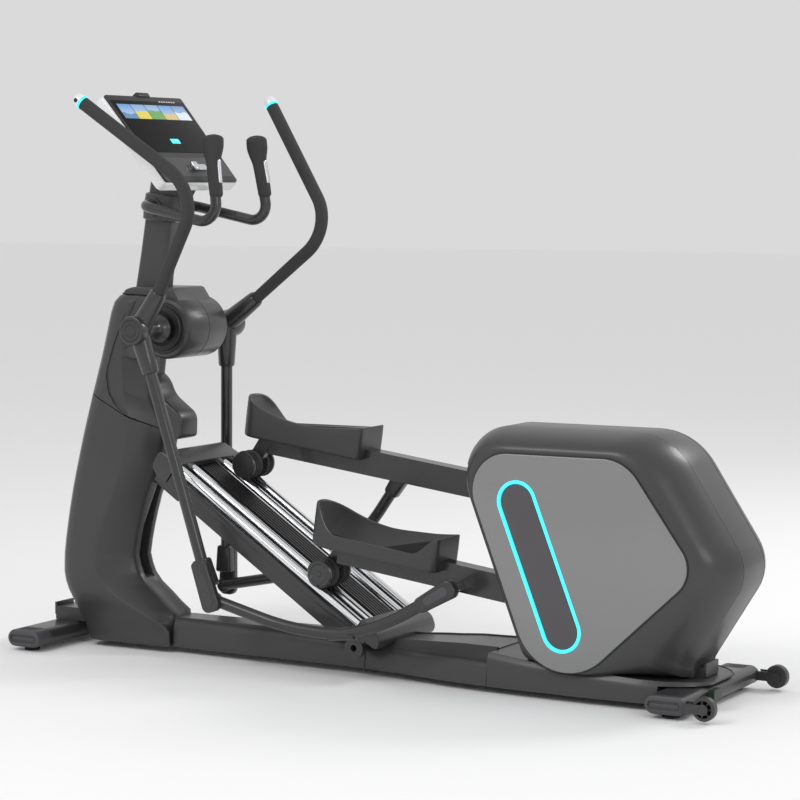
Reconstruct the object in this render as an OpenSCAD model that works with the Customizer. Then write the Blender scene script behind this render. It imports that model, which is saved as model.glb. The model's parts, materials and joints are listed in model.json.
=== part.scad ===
// Elliptical trainer with an adjustable roller ramp. Units are millimetres.
// +X points to the rear (drive housing), -X to the front (console tower), +Z up.
// The user faces -X, so the user's left is -Y. The origin is on the floor, mid-length.

/* [Footprint] */
// Distance from the middle of the machine to the front stabilizer
front_reach = 1019; // [960:1:1100]
// Distance from the middle of the machine to the rear stabilizer
rear_reach = 939; // [900:1:1000]
// Length of each stabilizer with its end caps
stabilizer_len = 506; // [440:1:640]
// Width of a stabilizer along the machine
stabilizer_w = 110; // [80:1:130]
// Height of a stabilizer
stabilizer_h = 48; // [40:1:56]
// Height of the levelling feet
foot_h = 12; // [8:1:20]
// Width of the welded base beam
beam_w = 84; // [60:1:110]
// Height of the welded base beam
beam_h = 38; // [30:1:40]
// Wall of the steel tubes
tube_wall = 3; // [2:0.5:4]

/* [Tower] */
// Backward lean of the post and the mast from upright
tower_lean = 10; // [6:0.5:12]
// Half width of the tower covers
tower_half = 112; // [100:1:120]
// Wall of the moulded covers
cover_wall = 3; // [2:0.5:4]
// Height of the handlebar hub axis
hub_z = 915; // [880:1:930]
// Distance of the hub axis ahead of the middle of the machine
hub_reach = 636; // [620:1:650]
// Radius of the fixed hub axle
hub_axle_r = 15; // [12:0.5:18]

/* [Swing arms] */
// Distance from the hub axis to the lower elbow
lower_len = 764; // [740:1:780]
// Angle of the left lower arm below the horizontal at rest
lower_angle = 70.8; // [68:0.1:74]
// Radius of the lower arm tube
lower_r = 16.5; // [14:0.5:18]
// Radius of the foam handle
handle_r = 18; // [15:0.5:20]
// Distance from the symmetry plane to the elbow
elbow_y = 245; // [240:1:260]
// Radius of the link tube
link_r = 16; // [13:0.5:17]

/* [Ramp] */
// Slope of the rails at rest, which is the steepest setting
ramp_angle = 33.9; // [30:0.1:35]
// Length of the four rails
rail_len = 704; // [690:1:720]
// Radius of a rail
rail_r = 14; // [12:0.5:16]
// Distance from the symmetry plane to the inner rail of a pair
rail_inner_y = 79; // [74:1:82]
// Distance between the two rails of a pair
rail_pitch = 58; // [56:1:60]
// Height of the foot pivot above the floor
pivot_z = 82; // [80:1:90]
// Radius of the foot pivot tube
pivot_r = 14; // [12:0.5:16]
// Half width of the ramp
ramp_half = 158; // [156:1:162]

/* [Stride] */
// Crank radius, half of the roller travel
crank_r = 226; // [210:1:230]
// Distance up the ramp from its foot pivot to the rear roller axle
roller_start = 192; // [180:1:210]
// Radius of the rollers over their flanges
roller_r = 40; // [36:1:42]
// Distance from a roller axle to its crank pin
arm_reach = 986; // [970:1:1000]
// Downward pitch of the pedal arms to the rear
arm_pitch = 7.7; // [6:0.1:9]
// Height of a pedal arm beam
arm_h = 70; // [50:1:76]
// Width of a pedal arm beam
arm_w = 50; // [36:1:54]
// Distance from the symmetry plane to the middle of a pedal arm
arm_y = 125; // [122:1:128]

/* [Pedals] */
// Length of a pedal
pedal_len = 400; // [360:1:420]
// Width of a pedal
pedal_w = 140; // [120:1:142]
// Height of the pedal rim above its floor at the front inner corner
pedal_rim = 88; // [60:1:95]
// Wall of the pedal rim
pedal_wall = 8; // [5:0.5:10]

/* [Drive] */
// Radius of the drive pulley on the crank axle
drive_r = 150; // [130:1:160]
// Radius of the small pulley on the flywheel
small_r = 32; // [25:1:36]
// Radius of the flywheel
flywheel_r = 108; // [90:1:112]
// Half width of the narrow band of the housing
spine_half = 70; // [66:1:76]
// Half width of the housing over its flat sides
housing_half = 182; // [176:1:190]

/* [Console] */
// Tilt of the console face from the horizontal
console_tilt = 50; // [40:1:60]
// Length of the console face along its slope
console_len = 310; // [280:1:330]
// Width of the console face at its lower edge
console_w = 360; // [320:1:380]
// Radius of the fixed handlebar tube
bar_r = 15; // [12:0.5:16]

/* [Fits] */
// Running clearance on radius of a shaft in a bore
run_gap = 0.05; // [0.02:0.01:0.1]
// Gap left between separate pieces
gap = 0.3; // [0.2:0.05:0.5]

/* [Hidden] */
$fn = 64;
curve_steps = 6;      // pieces along a rounded corner
tube_sides = 16;      // sides of a swept tube
left = -1;
right = 1;

// Main heights and lines
end_cap_t = 14;
boss_step = 1;                                // round bosses stand this proud of the bars between them
lug_r = 28;                                   // lugs that carry the ends of the foot pivot tube
lug_y0 = 144;
lug_y1 = 153;
front_x = -front_reach;
rear_x = rear_reach;
beam_bottom = foot_h + stabilizer_h;
beam_top = beam_bottom + beam_h;
hub = [-hub_reach, hub_z];
post_foot_x = -905;
post_w = 60;
post_t = 70;
mast_w = 80;
post_top = 985;
mast_top = 1318;
cap_top = 1027;
post_x = function(z) post_foot_x + (z - beam_top) * tan(tower_lean);

// Ramp frame: s runs up the rails from the foot pivot, h stands square to them
pivot = [0, pivot_z];
up = [-cos(ramp_angle), sin(ramp_angle)];
out = [sin(ramp_angle), cos(ramp_angle)];
ramp_at = function(s, h) pivot + s * up + h * out;
rail_h = 58;
rail_start = 18;
rail_end = rail_start + rail_len;
groove_r = rail_r + gap;
axle_h = rail_h + 46;                         // roller axle above the ramp's pivot line
contact_r = axle_h - rail_h - groove_r;
rail_outer_y = rail_inner_y + rail_pitch;
rail_mid_y = rail_inner_y + rail_pitch / 2;
roller_w = 30;
stride = 2 * crank_r;
roller_axle = function(side) ramp_at(roller_start + (side == left ? 0 : stride), axle_h);

// Pedal arms: t runs rearwards along the beam from above the roller, n stands square to it
arm_dir = [cos(arm_pitch), -sin(arm_pitch)];
arm_norm = [sin(arm_pitch), cos(arm_pitch)];
pin_drop = 3.5;                               // angle of the line from roller axle to crank pin
crank_pin = function(side) roller_axle(side) + arm_reach * [cos(pin_drop), -sin(pin_drop)];
crank_centre = (crank_pin(left) + crank_pin(right)) / 2;
stud_back = 562;                              // ball stud behind the crank pin, along the beam
stud_low = 19;                                // ball stud under the beam's middle line
stud = function(side) crank_pin(side) - stud_back * arm_dir - stud_low * arm_norm;

// Swing arms: the right arm is the left one turned by the angle that keeps the link length
polar = function(c, r, a) c + r * [cos(a), sin(a)];
elbow_left = polar(hub, lower_len, -lower_angle);
link_len = norm(stud(left) - elbow_left);
reach_right = norm(stud(right) - hub);
aim_right = atan2(stud(right).y - hub.y, stud(right).x - hub.x);
cos_right = (pow(lower_len, 2) + pow(reach_right, 2) - pow(link_len, 2)) / (2 * lower_len * reach_right);
swing = -(aim_right - acos(cos_right) + lower_angle);
elbow_right = polar(hub, lower_len, -lower_angle - swing);
sleeve_y = 221;
hub_inner_y = tower_half + 4;
hub_outer_y = 248;
link_y = 236;

// Crank, belt and flywheel
crank_outer_y = 82;
crank_t = 20;
flywheel_c = crank_centre + [-172, 141];
drive_line = flywheel_c - crank_centre;
belt_e = drive_line / norm(drive_line);
belt_sin = (drive_r - small_r) / norm(drive_line);
belt_n = belt_sin * belt_e + sqrt(1 - belt_sin * belt_sin) * [-belt_e.y, belt_e.x];
belt_t = 3;
belt_w = 20;
belt_y = 2;
idler_r = 22;
idler_c = (crank_centre + drive_r * belt_n + flywheel_c + small_r * belt_n) / 2
        + (idler_r + belt_t + 2 * gap) * belt_n;
plate_y = 52;
plate_t = 6;
pulley_w = 22;

// Transport wheels
wheel_r = 30;
wheel_w = 24;
wheel_x = rear_x + stabilizer_w / 2 + 50;
wheel_y = 245;
wheel_z = 37;

// Console
console_x = -569;
console_z = 1321;
console_top_w = console_w + 16;
bar_z = 1258;

// ---- geometry helpers ----
function unit(v) = v / norm(v);
// Arc that rounds the corner b of a-b-c, starting at the distance r from the corner
function curve(a, b, c, r) = let (
        u = unit(a - b), v = unit(c - b), half = acos(u * v) / 2,
        centre = b + unit(u + v) * r / cos(half), p = b + u * r, q = b + v * r)
    [for (i = [0:curve_steps]) let (t = i / curve_steps, m = (1 - t) * p + t * q)
        centre + r * tan(half) * unit(m - centre)];

// Closed outline: each corner is [x, z, start of its curve from the corner]
function outline(v) = let (n = len(v))
    [for (i = [0:n - 1]) let (a = v[(i + n - 1) % n], b = v[i], c = v[(i + 1) % n])
        each (b[2] == 0 ? [[b.x, b.y]] : curve([a.x, a.y], [b.x, b.y], [c.x, c.y], b[2]))];

// Open path in space: each point is [x, y, z, start of its curve]
function xyz(p) = [p[0], p[1], p[2]];
function path(v) = let (n = len(v))
    [xyz(v[0]),
     for (i = [1:n - 2])
        each (v[i][3] == 0 ? [xyz(v[i])] : curve(xyz(v[i - 1]), xyz(v[i]), xyz(v[i + 1]), v[i][3])),
     xyz(v[n - 1])];
function ring(p, t, ref, r) = let (u = unit(cross(ref, t)), w = cross(t, u))
    [for (k = [0:tube_sides - 1]) p + r * (cos(360 * k / tube_sides) * u + sin(360 * k / tube_sides) * w)];

module tube(points, r, ref = [0, 1, 0]) {
    m = len(points);
    n = tube_sides;
    rings = [for (i = [0:m - 1])
        each ring(points[i], unit(points[min(i + 1, m - 1)] - points[max(i - 1, 0)]), ref, r)];
    walls = [for (i = [0:m - 2]) for (k = [0:n - 1]) let (j = (k + 1) % n)
        [(i + 1) * n + k, (i + 1) * n + j, i * n + j, i * n + k]];
    caps = [[for (k = [0:n - 1]) k], [for (k = [0:n - 1]) m * n - 1 - k]];
    polyhedron(points = rings, faces = concat(walls, caps), convexity = 6);
}

// Extrudes a shape drawn in X and Z from y0 to y1
module slab(y0, y1) {
    translate([0, y1, 0]) rotate([90, 0, 0]) linear_extrude(y1 - y0) children();
}

module both_sides() {
    children();
    mirror([0, 1, 0]) children();
}

// Cylinder along Y at a point of the X-Z plane
module shaft(c, r, y0, y1) {
    translate([c.x, y0, c.y]) rotate([-90, 0, 0]) cylinder(r = r, h = y1 - y0);
}

module stadium(w, h) {
    translate([-(w - h) / 2, 0]) circle(d = h);
    translate([(w - h) / 2, 0]) circle(d = h);
    square([w - h, h], center = true);
}

module on_ramp() {
    translate([pivot.x, 0, pivot.y]) rotate([0, ramp_angle, 0]) children();
}

// A block on the ramp: s grows up the slope, so it is laid along local -X
module ramp_block(s0, s1, y0, y1, h0, h1) {
    on_ramp() translate([-s1, y0, h0]) cube([s1 - s0, y1 - y0, h1 - h0]);
}

// ---- base ----
module base_frame() color("dimgray") {
    difference() {
        union() {
            difference() {
                translate([front_x - 40, -beam_w / 2, beam_bottom])
                    cube([front_reach + rear_reach + 60, beam_w, beam_h]);
                translate([front_x - 41, -beam_w / 2 + tube_wall, beam_bottom + tube_wall])
                    cube([front_reach + rear_reach + 62, beam_w - 2 * tube_wall, beam_h - 2 * tube_wall]);
            }
            shaft(pivot, pivot_r, -lug_y1, lug_y1);
            both_sides() shaft(pivot, lug_r, lug_y0, lug_y1);
        }
        shaft(pivot, pivot_r - 5, -lug_y1 - 1, lug_y1 + 1);
    }
}
module stabilizer(x) translate([x, 0, foot_h + stabilizer_h / 2]) difference() {
    slab(-stabilizer_len / 2 + end_cap_t, stabilizer_len / 2 - end_cap_t)
        stadium(stabilizer_w, stabilizer_h);
    slab(-stabilizer_len, stabilizer_len)
        stadium(stabilizer_w - 2 * tube_wall, stabilizer_h - 2 * tube_wall);
}

module stabilizers() color("dimgray") {
    stabilizer(front_x);
    stabilizer(rear_x);
}

module stabilizer_caps() color("slategray")
    for (x = [front_x, rear_x]) both_sides()
        translate([x, 0, foot_h + stabilizer_h / 2]) {
            slab(stabilizer_len / 2 - end_cap_t, stabilizer_len / 2) stadium(stabilizer_w, stabilizer_h);
            slab(stabilizer_len / 2 - end_cap_t - 16, stabilizer_len / 2 - end_cap_t)
                stadium(stabilizer_w - 2 * tube_wall - 2 * gap, stabilizer_h - 2 * tube_wall - 2 * gap);
        }

module rubber_feet() color("black") {
    for (x = [front_x, rear_x]) both_sides() translate([x, stabilizer_len / 2 - 45, 0]) {
        cylinder(r = 22, h = 5);
        cylinder(r = 16, h = foot_h);
    }
    // middle foot under the base beam
    translate([330, 0, 0]) {
        cylinder(r = 24, h = 6);
        cylinder(r = 14, h = beam_bottom);
    }
}

// ---- tower ----
module leaning_box(w, t, z0, z1) {
    intersection() {
        translate([post_foot_x, 0, beam_top]) rotate([0, tower_lean, 0])
            translate([-w / 2, -t / 2, -60]) cube([w, t, 1400]);
        translate([-1500, -300, z0]) cube([1200, 600, z1 - z0]);
    }
}

module tower_post() color("dimgray") difference() {
    union() {
        leaning_box(post_w, post_t, beam_top, post_top);
        translate([post_x(hub_z), -post_t / 2, hub_z - 36]) cube([hub.x - post_x(hub_z), post_t, 72]);
        shaft(hub, 52, -95, 95);
    }
    shaft(hub, 44, -96, 96);
    leaning_box(post_w - 2 * tube_wall, post_t - 2 * tube_wall, beam_top - 1, hub_z - 70);
}

module bearing(c, r_out, r_in, y0, y1) {
    difference() {
        shaft(c, r_out, y0, y1);
        shaft(c, r_in, y0 - 1, y1 + 1);
    }
}

module bearings() color("silver") both_sides() {
    bearing(hub, 44 - run_gap, hub_axle_r + run_gap, 70, 94);
    bearing(crank_centre, 26 - run_gap, crank_axle_r + run_gap, plate_y - 6, plate_y + plate_t);
}
crank_axle_r = 15;

module pivot_axle() color("silver") shaft(hub, hub_axle_r, -hub_outer_y, hub_outer_y);

// Side outline of the lower tower in its upright and its foot stretch
tower_upper = function(rear) [
    [-1002, 215, 30], [-952, 511, 60], [-888, 735, 0], rear ? [-720, 650, 0] : [-679, 620, 0],
    rear ? [-800, 499, 40] : [-705, 499, 40], rear ? [-866, 250, 0] : [-792, 250, 0]];
foot_top = beam_top + 8;
tower_lower = function(rear) [
    [-1002, 240, 0], [-996, 170, 30], [-960, 98, 20], [-925, 18, 0],
    [cover_seam - gap, 18, 0], [cover_seam - gap, foot_top + gap, 0],
    rear ? [-690, 112, 0] : [-600, 112, 0], rear ? [-866, 250, 0] : [-792, 250, 0]];

module tower_piece(side_points, mid_points, inset) hull() {
    slab(-tower_half + inset, tower_half - inset) offset(delta = -inset) polygon(outline(side_points));
    slab(-34 + inset, 34 - inset) offset(delta = -inset) polygon(outline(mid_points));
}

module tower_body(inset) {
    tower_piece(tower_upper(true), tower_upper(false), inset);
    tower_piece(tower_lower(true), tower_lower(false), inset);
}

module tower_shroud() color("dimgray") difference() {
    tower_body(0);
    tower_body(cover_wall);
    // open to the head above, to the beam below and along the lift slot
    leaning_box(post_w + 12, post_t + 60, 600, 760);
    slab(-200, 200) head_shape(-gap);
    // one cavity through both stretches of the tower, and the step over the beam cover
    translate([-990, -tower_half + cover_wall, 205]) cube([118, 2 * (tower_half - cover_wall), 57]);
    translate([-990, -31, 205]) cube([192, 62, 57]);
    translate([cover_seam - gap, -300, 0]) cube([200, 600, foot_top + gap]);
    translate([-1010, -beam_w / 2 - gap, 0]) cube([400, beam_w + 2 * gap, beam_top + gap]);
    translate([-830, -20, 250]) cube([200, 40, 298]);
    translate([front_x, -300, 0]) cube([stabilizer_w / 2 + 1, 600, beam_bottom + gap]);
}

head_outline = [
    [-882, 737, 0], [-826, 962, 0], [-812, 1003, 30], [-556, 1003, 14], [-551, hub_z, 0],
    [-560, 838, 40], [-640, 830, 30], [-730, 806, 44], [-724, 720, 38], [-618, 668, 20],
    [-620, 604, 12], [-670, 592, 0], [-674, 622, 0]];

beak_half = 48;
module head_shape(inset) offset(delta = -inset) polygon(outline(head_outline));

module tower_head_shroud() color("dimgray") difference() {
    intersection() {
        slab(-tower_half, tower_half) head_shape(0);
        union() {
            translate([-1000, -tower_half, 700]) cube([600, 2 * tower_half, 400]);
            translate([-1000, -tower_half, 580]) cube([290, 2 * tower_half, 400]);
            translate([-1000, -beak_half, 580]) cube([600, 2 * beak_half, 400]);
        }
    }
    slab(-tower_half + cover_wall, tower_half - cover_wall) intersection() {
        head_shape(cover_wall);
        polygon([[-1000, 580], [-713, 580], [-713, 735], [-400, 735], [-400, 1140], [-1000, 1140]]);
    }
    slab(-beak_half + cover_wall, beak_half - cover_wall) head_shape(cover_wall + 1);
    leaning_box(post_w + 4, post_t + 4, 580, 800);
    shaft(hub, 62 + gap, -tower_half - 1, tower_half + 1);
    leaning_box(mast_w + 4, post_t + 4, 990, 1010);
}

module tower_cap_plate() color("dimgray") difference() {
    translate([-787, -70, 1003]) cube([230, 140, cap_top - 1003]);
    leaning_box(mast_w + 2 * gap, post_t + 2 * gap, 1000, 1040);
}

module hub_trim_rings() color("black") both_sides() difference() {
    shaft(hub, 62, 95 + gap, tower_half);
    shaft(hub, 40, 95, tower_half + 1);
}

module mast() color("dimgray") difference() {
    leaning_box(mast_w, post_t, post_top, mast_top);
    leaning_box(mast_w - 2 * tube_wall, post_t - 2 * tube_wall, post_top - 1, mast_top + 1);
}

// ---- fixed handlebar ----
collar_z0 = 1208;
collar_z1 = 1284;
grip_base = [-452, 122, 1300];
grip_top = [-475, 109, 1448];
bar_path = [
    [post_x(bar_z), 30, bar_z, 0], [-694, 122, bar_z - 4, 40], [-437, 131, 1201, 62],
    [grip_base.x, grip_base.y, grip_base.z, 0]];

module handlebar_collar() color("dimgray") difference() {
    leaning_box(mast_w + 24, post_t + 46, collar_z0, collar_z1);
    leaning_box(mast_w + 2 * gap, post_t + 2 * gap, collar_z0 - 1, collar_z1 + 1);
    both_sides() bar_tube(bar_r + gap);
}

module bar_tube(r) {
    tube(path(bar_path), r, [0.2, 0.3, 1]);
}

module fixed_handlebar() color("dimgray") both_sides() difference() {
    bar_tube(bar_r);
    leaning_box(mast_w + 2 * gap, post_t + 2 * gap, collar_z0 - 1, collar_z1 + 1);
}

grip_dir = (grip_top - grip_base) / norm(grip_top - grip_base);
grip_len = norm(grip_top - grip_base);

module at_grip() {
    translate(grip_base) multmatrix([
        [grip_x.x, grip_y.x, grip_dir.x, 0],
        [grip_x.y, grip_y.y, grip_dir.y, 0],
        [grip_x.z, grip_y.z, grip_dir.z, 0]]) children();
}
grip_y = unit([0, 1, 0] - grip_dir.y * grip_dir);
grip_x = cross(grip_y, grip_dir);

module fixed_grips() color("dimgray") both_sides() at_grip() difference() {
    union() {
        translate([0, 0, gap]) cylinder(r = 20, h = grip_len - 40);
        translate([-34, -17, grip_len - 44]) cube([54, 34, 48]);
    }
    translate([gap, -17.5, grip_len - 30]) cube([22, 35, 24]);
}

module grip_keys(side) color("gray") scale([1, side, 1]) at_grip()
    translate([2 + gap, -15, grip_len - 30 + gap]) cube([15, 30, 24 - 2 * gap]);

module left_grip_keys() grip_keys(left);
module right_grip_keys() grip_keys(right);

// ---- console ----
module on_console() {
    translate([console_x, 0, console_z]) rotate([0, console_tilt, 0]) children();
}

module console_plate(w, t0, t1, grow) {
    translate([0, 0, t0]) linear_extrude(t1 - t0) polygon([
        [grow, -w / 2 - grow], [grow, w / 2 + grow],
        [-console_len - grow, console_top_w / 2 + grow], [-console_len - grow, -console_top_w / 2 - grow]]);
}

screen_len = 200;
module console_bezel() color("dimgray") on_console() {
    difference() {
        console_plate(console_w, -14, 0, 0);
        translate([-console_len + 12, -console_w / 2 + 10, -6]) cube([screen_len, console_w - 20, 20]);
        translate([-62, -26, -8]) cube([34, 92, 20]);
    }
    translate([-console_len - 12, -30, -10]) cube([12 - gap, 60, 16]);
}

module screen_panel() color("black") on_console()
    translate([-console_len + 12 + gap, -console_w / 2 + 10 + gap, -6 + gap])
        cube([screen_len - 2 * gap, console_w - 20 - 2 * gap, 5]);

module console_lever() color("silver") on_console()
    translate([-45, 20, -8 + gap]) {
        cylinder(r = 12, h = 8);
        translate([-8, -40, 8]) cube([16, 80, 8]);
    }

module console_shell() color("white") on_console() difference() {
    console_plate(console_w, -44, -14 - gap, 2.5);
    console_plate(console_w, -44 + cover_wall, 0, 2.5 - cover_wall);
    translate([-150, -60, -60]) cube([110, 120, 30]);
}

module console_bracket() color("dimgray") difference() {
    union() {
        leaning_box(mast_w + 30, 104, collar_z1 + gap, 1326);
        on_console() translate([-148, -58, -76]) cube([106, 116, 76 - 14 - gap]);
    }
    leaning_box(mast_w + 2 * gap, post_t + 2 * gap, collar_z1 - 1, mast_top + gap);
}

// ---- covers along the beam ----
cover_half = 72;
cover_seam = -640;
flare_seam = 0;
module beam_section(half, top) {
    polygon([[-half, 18], [-half, 74], [-half + 26, top], [half - 26, top], [half, 74], [half, 18]]);
}

module beam_prism(x0, x1, half, top) {
    translate([x0, 0, 0]) rotate([90, 0, 90]) linear_extrude(x1 - x0) beam_section(half, top);
}

module beam_cover() color("dimgray") difference() {
    beam_prism(cover_seam + gap, flare_seam - gap, cover_half, beam_top + 8);
    beam_prism(cover_seam - 1, flare_seam + 1, cover_half - cover_wall, beam_top + 8 - cover_wall);
    translate([cover_seam, -cover_half + cover_wall, 0]) cube([-cover_seam, 2 * (cover_half - cover_wall), 30]);
    shaft(pivot, pivot_r + 1, -100, 100);
}

flare_end = 400;
module flare_body(inset) hull() {
    beam_prism(flare_seam + gap - (inset > 0 ? 1 : 0), flare_seam + 2, cover_half - inset, beam_top + 8 - inset);
    beam_prism(flare_end, flare_end + (inset > 0 ? 3 : 2), 150 - inset, beam_top + 22 - inset);
}

module beam_flare_cover() color("dimgray") difference() {
    flare_body(0);
    flare_body(cover_wall);
    translate([flare_seam, -147, 0]) cube([flare_end, 294, 30]);
    shaft(pivot, pivot_r + 1, -100, 100);
    on_ramp_clear();
}

module on_ramp_clear() both_sides()
    translate([-1, ear_y0 - 3, 0]) cube([110, ear_y1 - ear_y0 + 60, 200]);

// ---- drive housing ----
housing_foot = 74;
spine_outline = [
    [268, 688, 150], [878, 688, 95], [1094, 352, 72], [940, 105, 15], [936, housing_foot, 0],
    [506, housing_foot, 0]];
panel_outline = [[321, 634, 150], [800, 634, 62], [1000, 354, 72], [580, -35, 218]];

module spine_shape(inset) offset(delta = -inset) polygon(outline(spine_outline));
module panel_shape(inset) offset(delta = -inset) polygon(outline(panel_outline));

module housing_spine() color("dimgray") difference() {
    slab(-spine_half + gap, spine_half - gap) spine_shape(0);
    slab(-spine_half, spine_half) spine_shape(cover_wall);
    translate([480, -beam_w / 2 - 1, 0]) cube([480, beam_w + 2, beam_top + gap]);
}

module bulge(inset) hull() {
    slab(spine_half, spine_half + 1) spine_shape(inset);
    slab(spine_half, housing_half - inset) panel_shape(inset);
}

module housing_side_shells() color("dimgray") both_sides() difference() {
    bulge(0);
    translate([0, -1.01, 0]) bulge(cover_wall);
    slab(spine_half - 2, spine_half + 2) spine_shape(cover_wall);
    // channel where the pedal arm runs in, and the foot of the housing
    translate([200, spine_half + 14, 195]) cube([330, 72, 400]);
    translate([200, 0, -100]) cube([900, 200, 100 + housing_foot]);
}

module side_panels() color("gray") both_sides()
    slab(housing_half, housing_half + 5) difference() {
        panel_shape(3);
        strip_shape(strip_r);
        translate([0, -100]) square([1200, 100 + housing_foot]);
    }

strip_r = 42;
strip_ends = [[509, 517], [633, 183]];
strip_steps = 24;
// Long oval round the two strip ends
module strip_shape(r) let (v = strip_ends[1] - strip_ends[0], a = atan2(v.y, v.x))
    polygon([for (end = [0, 1]) for (i = [0:strip_steps])
        polar(strip_ends[end], r, a + 90 + 180 * (i / strip_steps - end))]);

module strip_inserts() color("dimgray") both_sides()
    slab(housing_half, housing_half + 4) strip_shape(strip_r - 7);

module led_rings() color("cyan") both_sides()
    slab(housing_half, housing_half + 5) difference() {
        strip_shape(strip_r - gap);
        strip_shape(strip_r - 7 + gap);
    }

plinth_half = 168;
plinth_end = 1012;
inlet_x0 = 997;
inlet_y0 = -110;
inlet_w = 48;
module rear_plinth() color("dimgray") difference() {
    translate([flare_end + 2 + gap, -plinth_half, 18])
        cube([plinth_end - flare_end - 2 - gap, 2 * plinth_half, housing_foot - 18]);
    translate([plinth_end - 20, inlet_y0 - gap, 30 - gap]) cube([40, inlet_w + 2 * gap, 26 + 2 * gap]);
    translate([flare_end - 1, -plinth_half + cover_wall, 0])
        cube([plinth_end - flare_end - cover_wall, 2 * (plinth_half - cover_wall), housing_foot - cover_wall]);
    translate([flare_end - 1, -beam_w / 2 - gap, 0]) cube([700, beam_w + 2 * gap, beam_top]);
    translate([rear_x - stabilizer_w / 2 - gap, -200, 0]) cube([stabilizer_w + 2 * gap, 400, beam_bottom + gap]);
    translate([506, -spine_half, 0]) cube([430, 2 * spine_half, 100]);
}

// ---- transport wheels ----
module wheel_brackets() color("dimgray") both_sides() {
    for (y = [wheel_y - wheel_w / 2 - 5, wheel_y + wheel_w / 2 + 1]) difference() {
        union() {
            shaft([wheel_x, wheel_z], 14, y, y + 4);
            translate([rear_x + stabilizer_w / 2 - 3, y, wheel_z - 12]) cube([wheel_x - rear_x - stabilizer_w / 2 + 3, 4, 24]);
        }
        translate([rear_x, 0, foot_h + stabilizer_h / 2]) slab(0, 400) stadium(stabilizer_w + 2 * gap, stabilizer_h + 2 * gap);
    }
    shaft([wheel_x, wheel_z], 4, wheel_y - wheel_w / 2 - 5, wheel_y + wheel_w / 2 + 5);
}

module transport_wheel(side) color("black") difference() {
    shaft([wheel_x, wheel_z], wheel_r, side * wheel_y - wheel_w / 2, side * wheel_y + wheel_w / 2);
    shaft([wheel_x, wheel_z], 4 + run_gap, side * wheel_y - 50, side * wheel_y + 50);
}
module left_transport_wheel() transport_wheel(left);
module right_transport_wheel() transport_wheel(right);

// ---- drive train ----
frame_plate = [
    [crank_centre.x - 120, beam_top], [crank_centre.x + 110, beam_top],
    [crank_centre.x + 60, crank_centre.y + 40], [crank_centre.x, crank_centre.y + 60],
    [flywheel_c.x + 20, flywheel_c.y + 45], [flywheel_c.x - 45, flywheel_c.y + 20],
    [flywheel_c.x - 40, flywheel_c.y - 40], [crank_centre.x - 70, crank_centre.y - 40]];

module drive_frame() color("dimgray") {
    both_sides() difference() {
        slab(plate_y, plate_y + plate_t) polygon(frame_plate);
        shaft(crank_centre, 26, 0, 100);
        shaft(flywheel_c, 10 + run_gap, 0, 100);
    }
    both_sides() translate([crank_centre.x - 120, beam_w / 2, beam_top - 8]) cube([230, plate_y + plate_t - beam_w / 2, 8]);
    shaft(idler_c, 6, belt_y - 4, plate_y);
}

module crank_axle() color("silver") shaft(crank_centre, crank_axle_r, -crank_outer_y, crank_outer_y);

module crank_arms() color("dimgray") for (side = [left, right]) {
    y0 = side == left ? -crank_outer_y : crank_outer_y - crank_t;
    v = crank_pin(side) - crank_centre;
    difference() {
        union() {
            shaft(crank_centre, 32, y0, y0 + crank_t);
            shaft(crank_pin(side), 24, y0, y0 + crank_t);
            translate([crank_centre.x, y0, crank_centre.y]) rotate([0, -atan2(v.y, v.x), 0])
                translate([0, boss_step, -22]) cube([crank_r, crank_t - 2 * boss_step, 44]);
        }
        shaft(crank_centre, crank_axle_r + run_gap, -100, 100);
    }
}

module drive_pulley() color("gray") difference() {
    shaft(crank_centre, drive_r, belt_y - 1, belt_y - 1 + pulley_w);
    shaft(crank_centre, crank_axle_r + run_gap, -50, 50);
    for (a = [0:72:288]) let (c = crank_centre + 88 * [cos(a), sin(a)]) shaft(c, 34, -50, 50);
}

module belt_loop(r0, r1) hull() {
    translate(crank_centre) circle(r = r0);
    translate(flywheel_c) circle(r = r1);
}

module drive_belt() color("black") slab(belt_y, belt_y + belt_w) difference() {
    belt_loop(drive_r + gap + belt_t, small_r + gap + belt_t);
    belt_loop(drive_r + gap, small_r + gap);
}

module flywheel() color("silver") {
    shaft(flywheel_c, flywheel_r, -44, -8);
    shaft(flywheel_c, small_r, -8, belt_y - 1 + pulley_w);
    shaft(flywheel_c, 10, -plate_y - plate_t, plate_y + plate_t);
}

module idler_pulley() color("gray") bearing(idler_c, idler_r, 6 + run_gap, belt_y, belt_y + belt_w);

// Lift motor and screw behind the slot of the tower
lift_r = 838;
lift_at = function(a) pivot + lift_r * [-cos(a), sin(a)];
module lift_actuator() color("gray") {
    a = lift_at(13);
    b = lift_at(30.5);
    v = b - a;
    difference() {
        translate([a.x, 0, a.y]) rotate([0, 90 - atan2(v.y, v.x), 0]) {
            cylinder(r = 7, h = norm(v));
            translate([0, 0, -55]) cylinder(r = 20, h = 55);
            // lugs that bolt the motor and the screw's upper end to the post
            translate([-70, -20, -61]) cube([90, 40, 6]);
            translate([-120, -9, norm(v) - 6]) cube([130, 18, 6]);
        }
        leaning_box(post_w + 2 * gap, post_t + 2 * gap, beam_top, post_top);
        translate([-1100, -60, 0]) cube([post_x(300) + 1100, 120, 800]);
    }
}

module control_electronics() color("darkgreen") {
    // drive board on the post and mains inlet in the plinth's rear wall
    translate([post_x(480) - 24, -post_t / 2 - gap - 18, 440]) cube([40, 18, 90]);
    translate([inlet_x0, inlet_y0, 30]) cube([plinth_end + 2 - inlet_x0, inlet_w, 26]);
}

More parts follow.
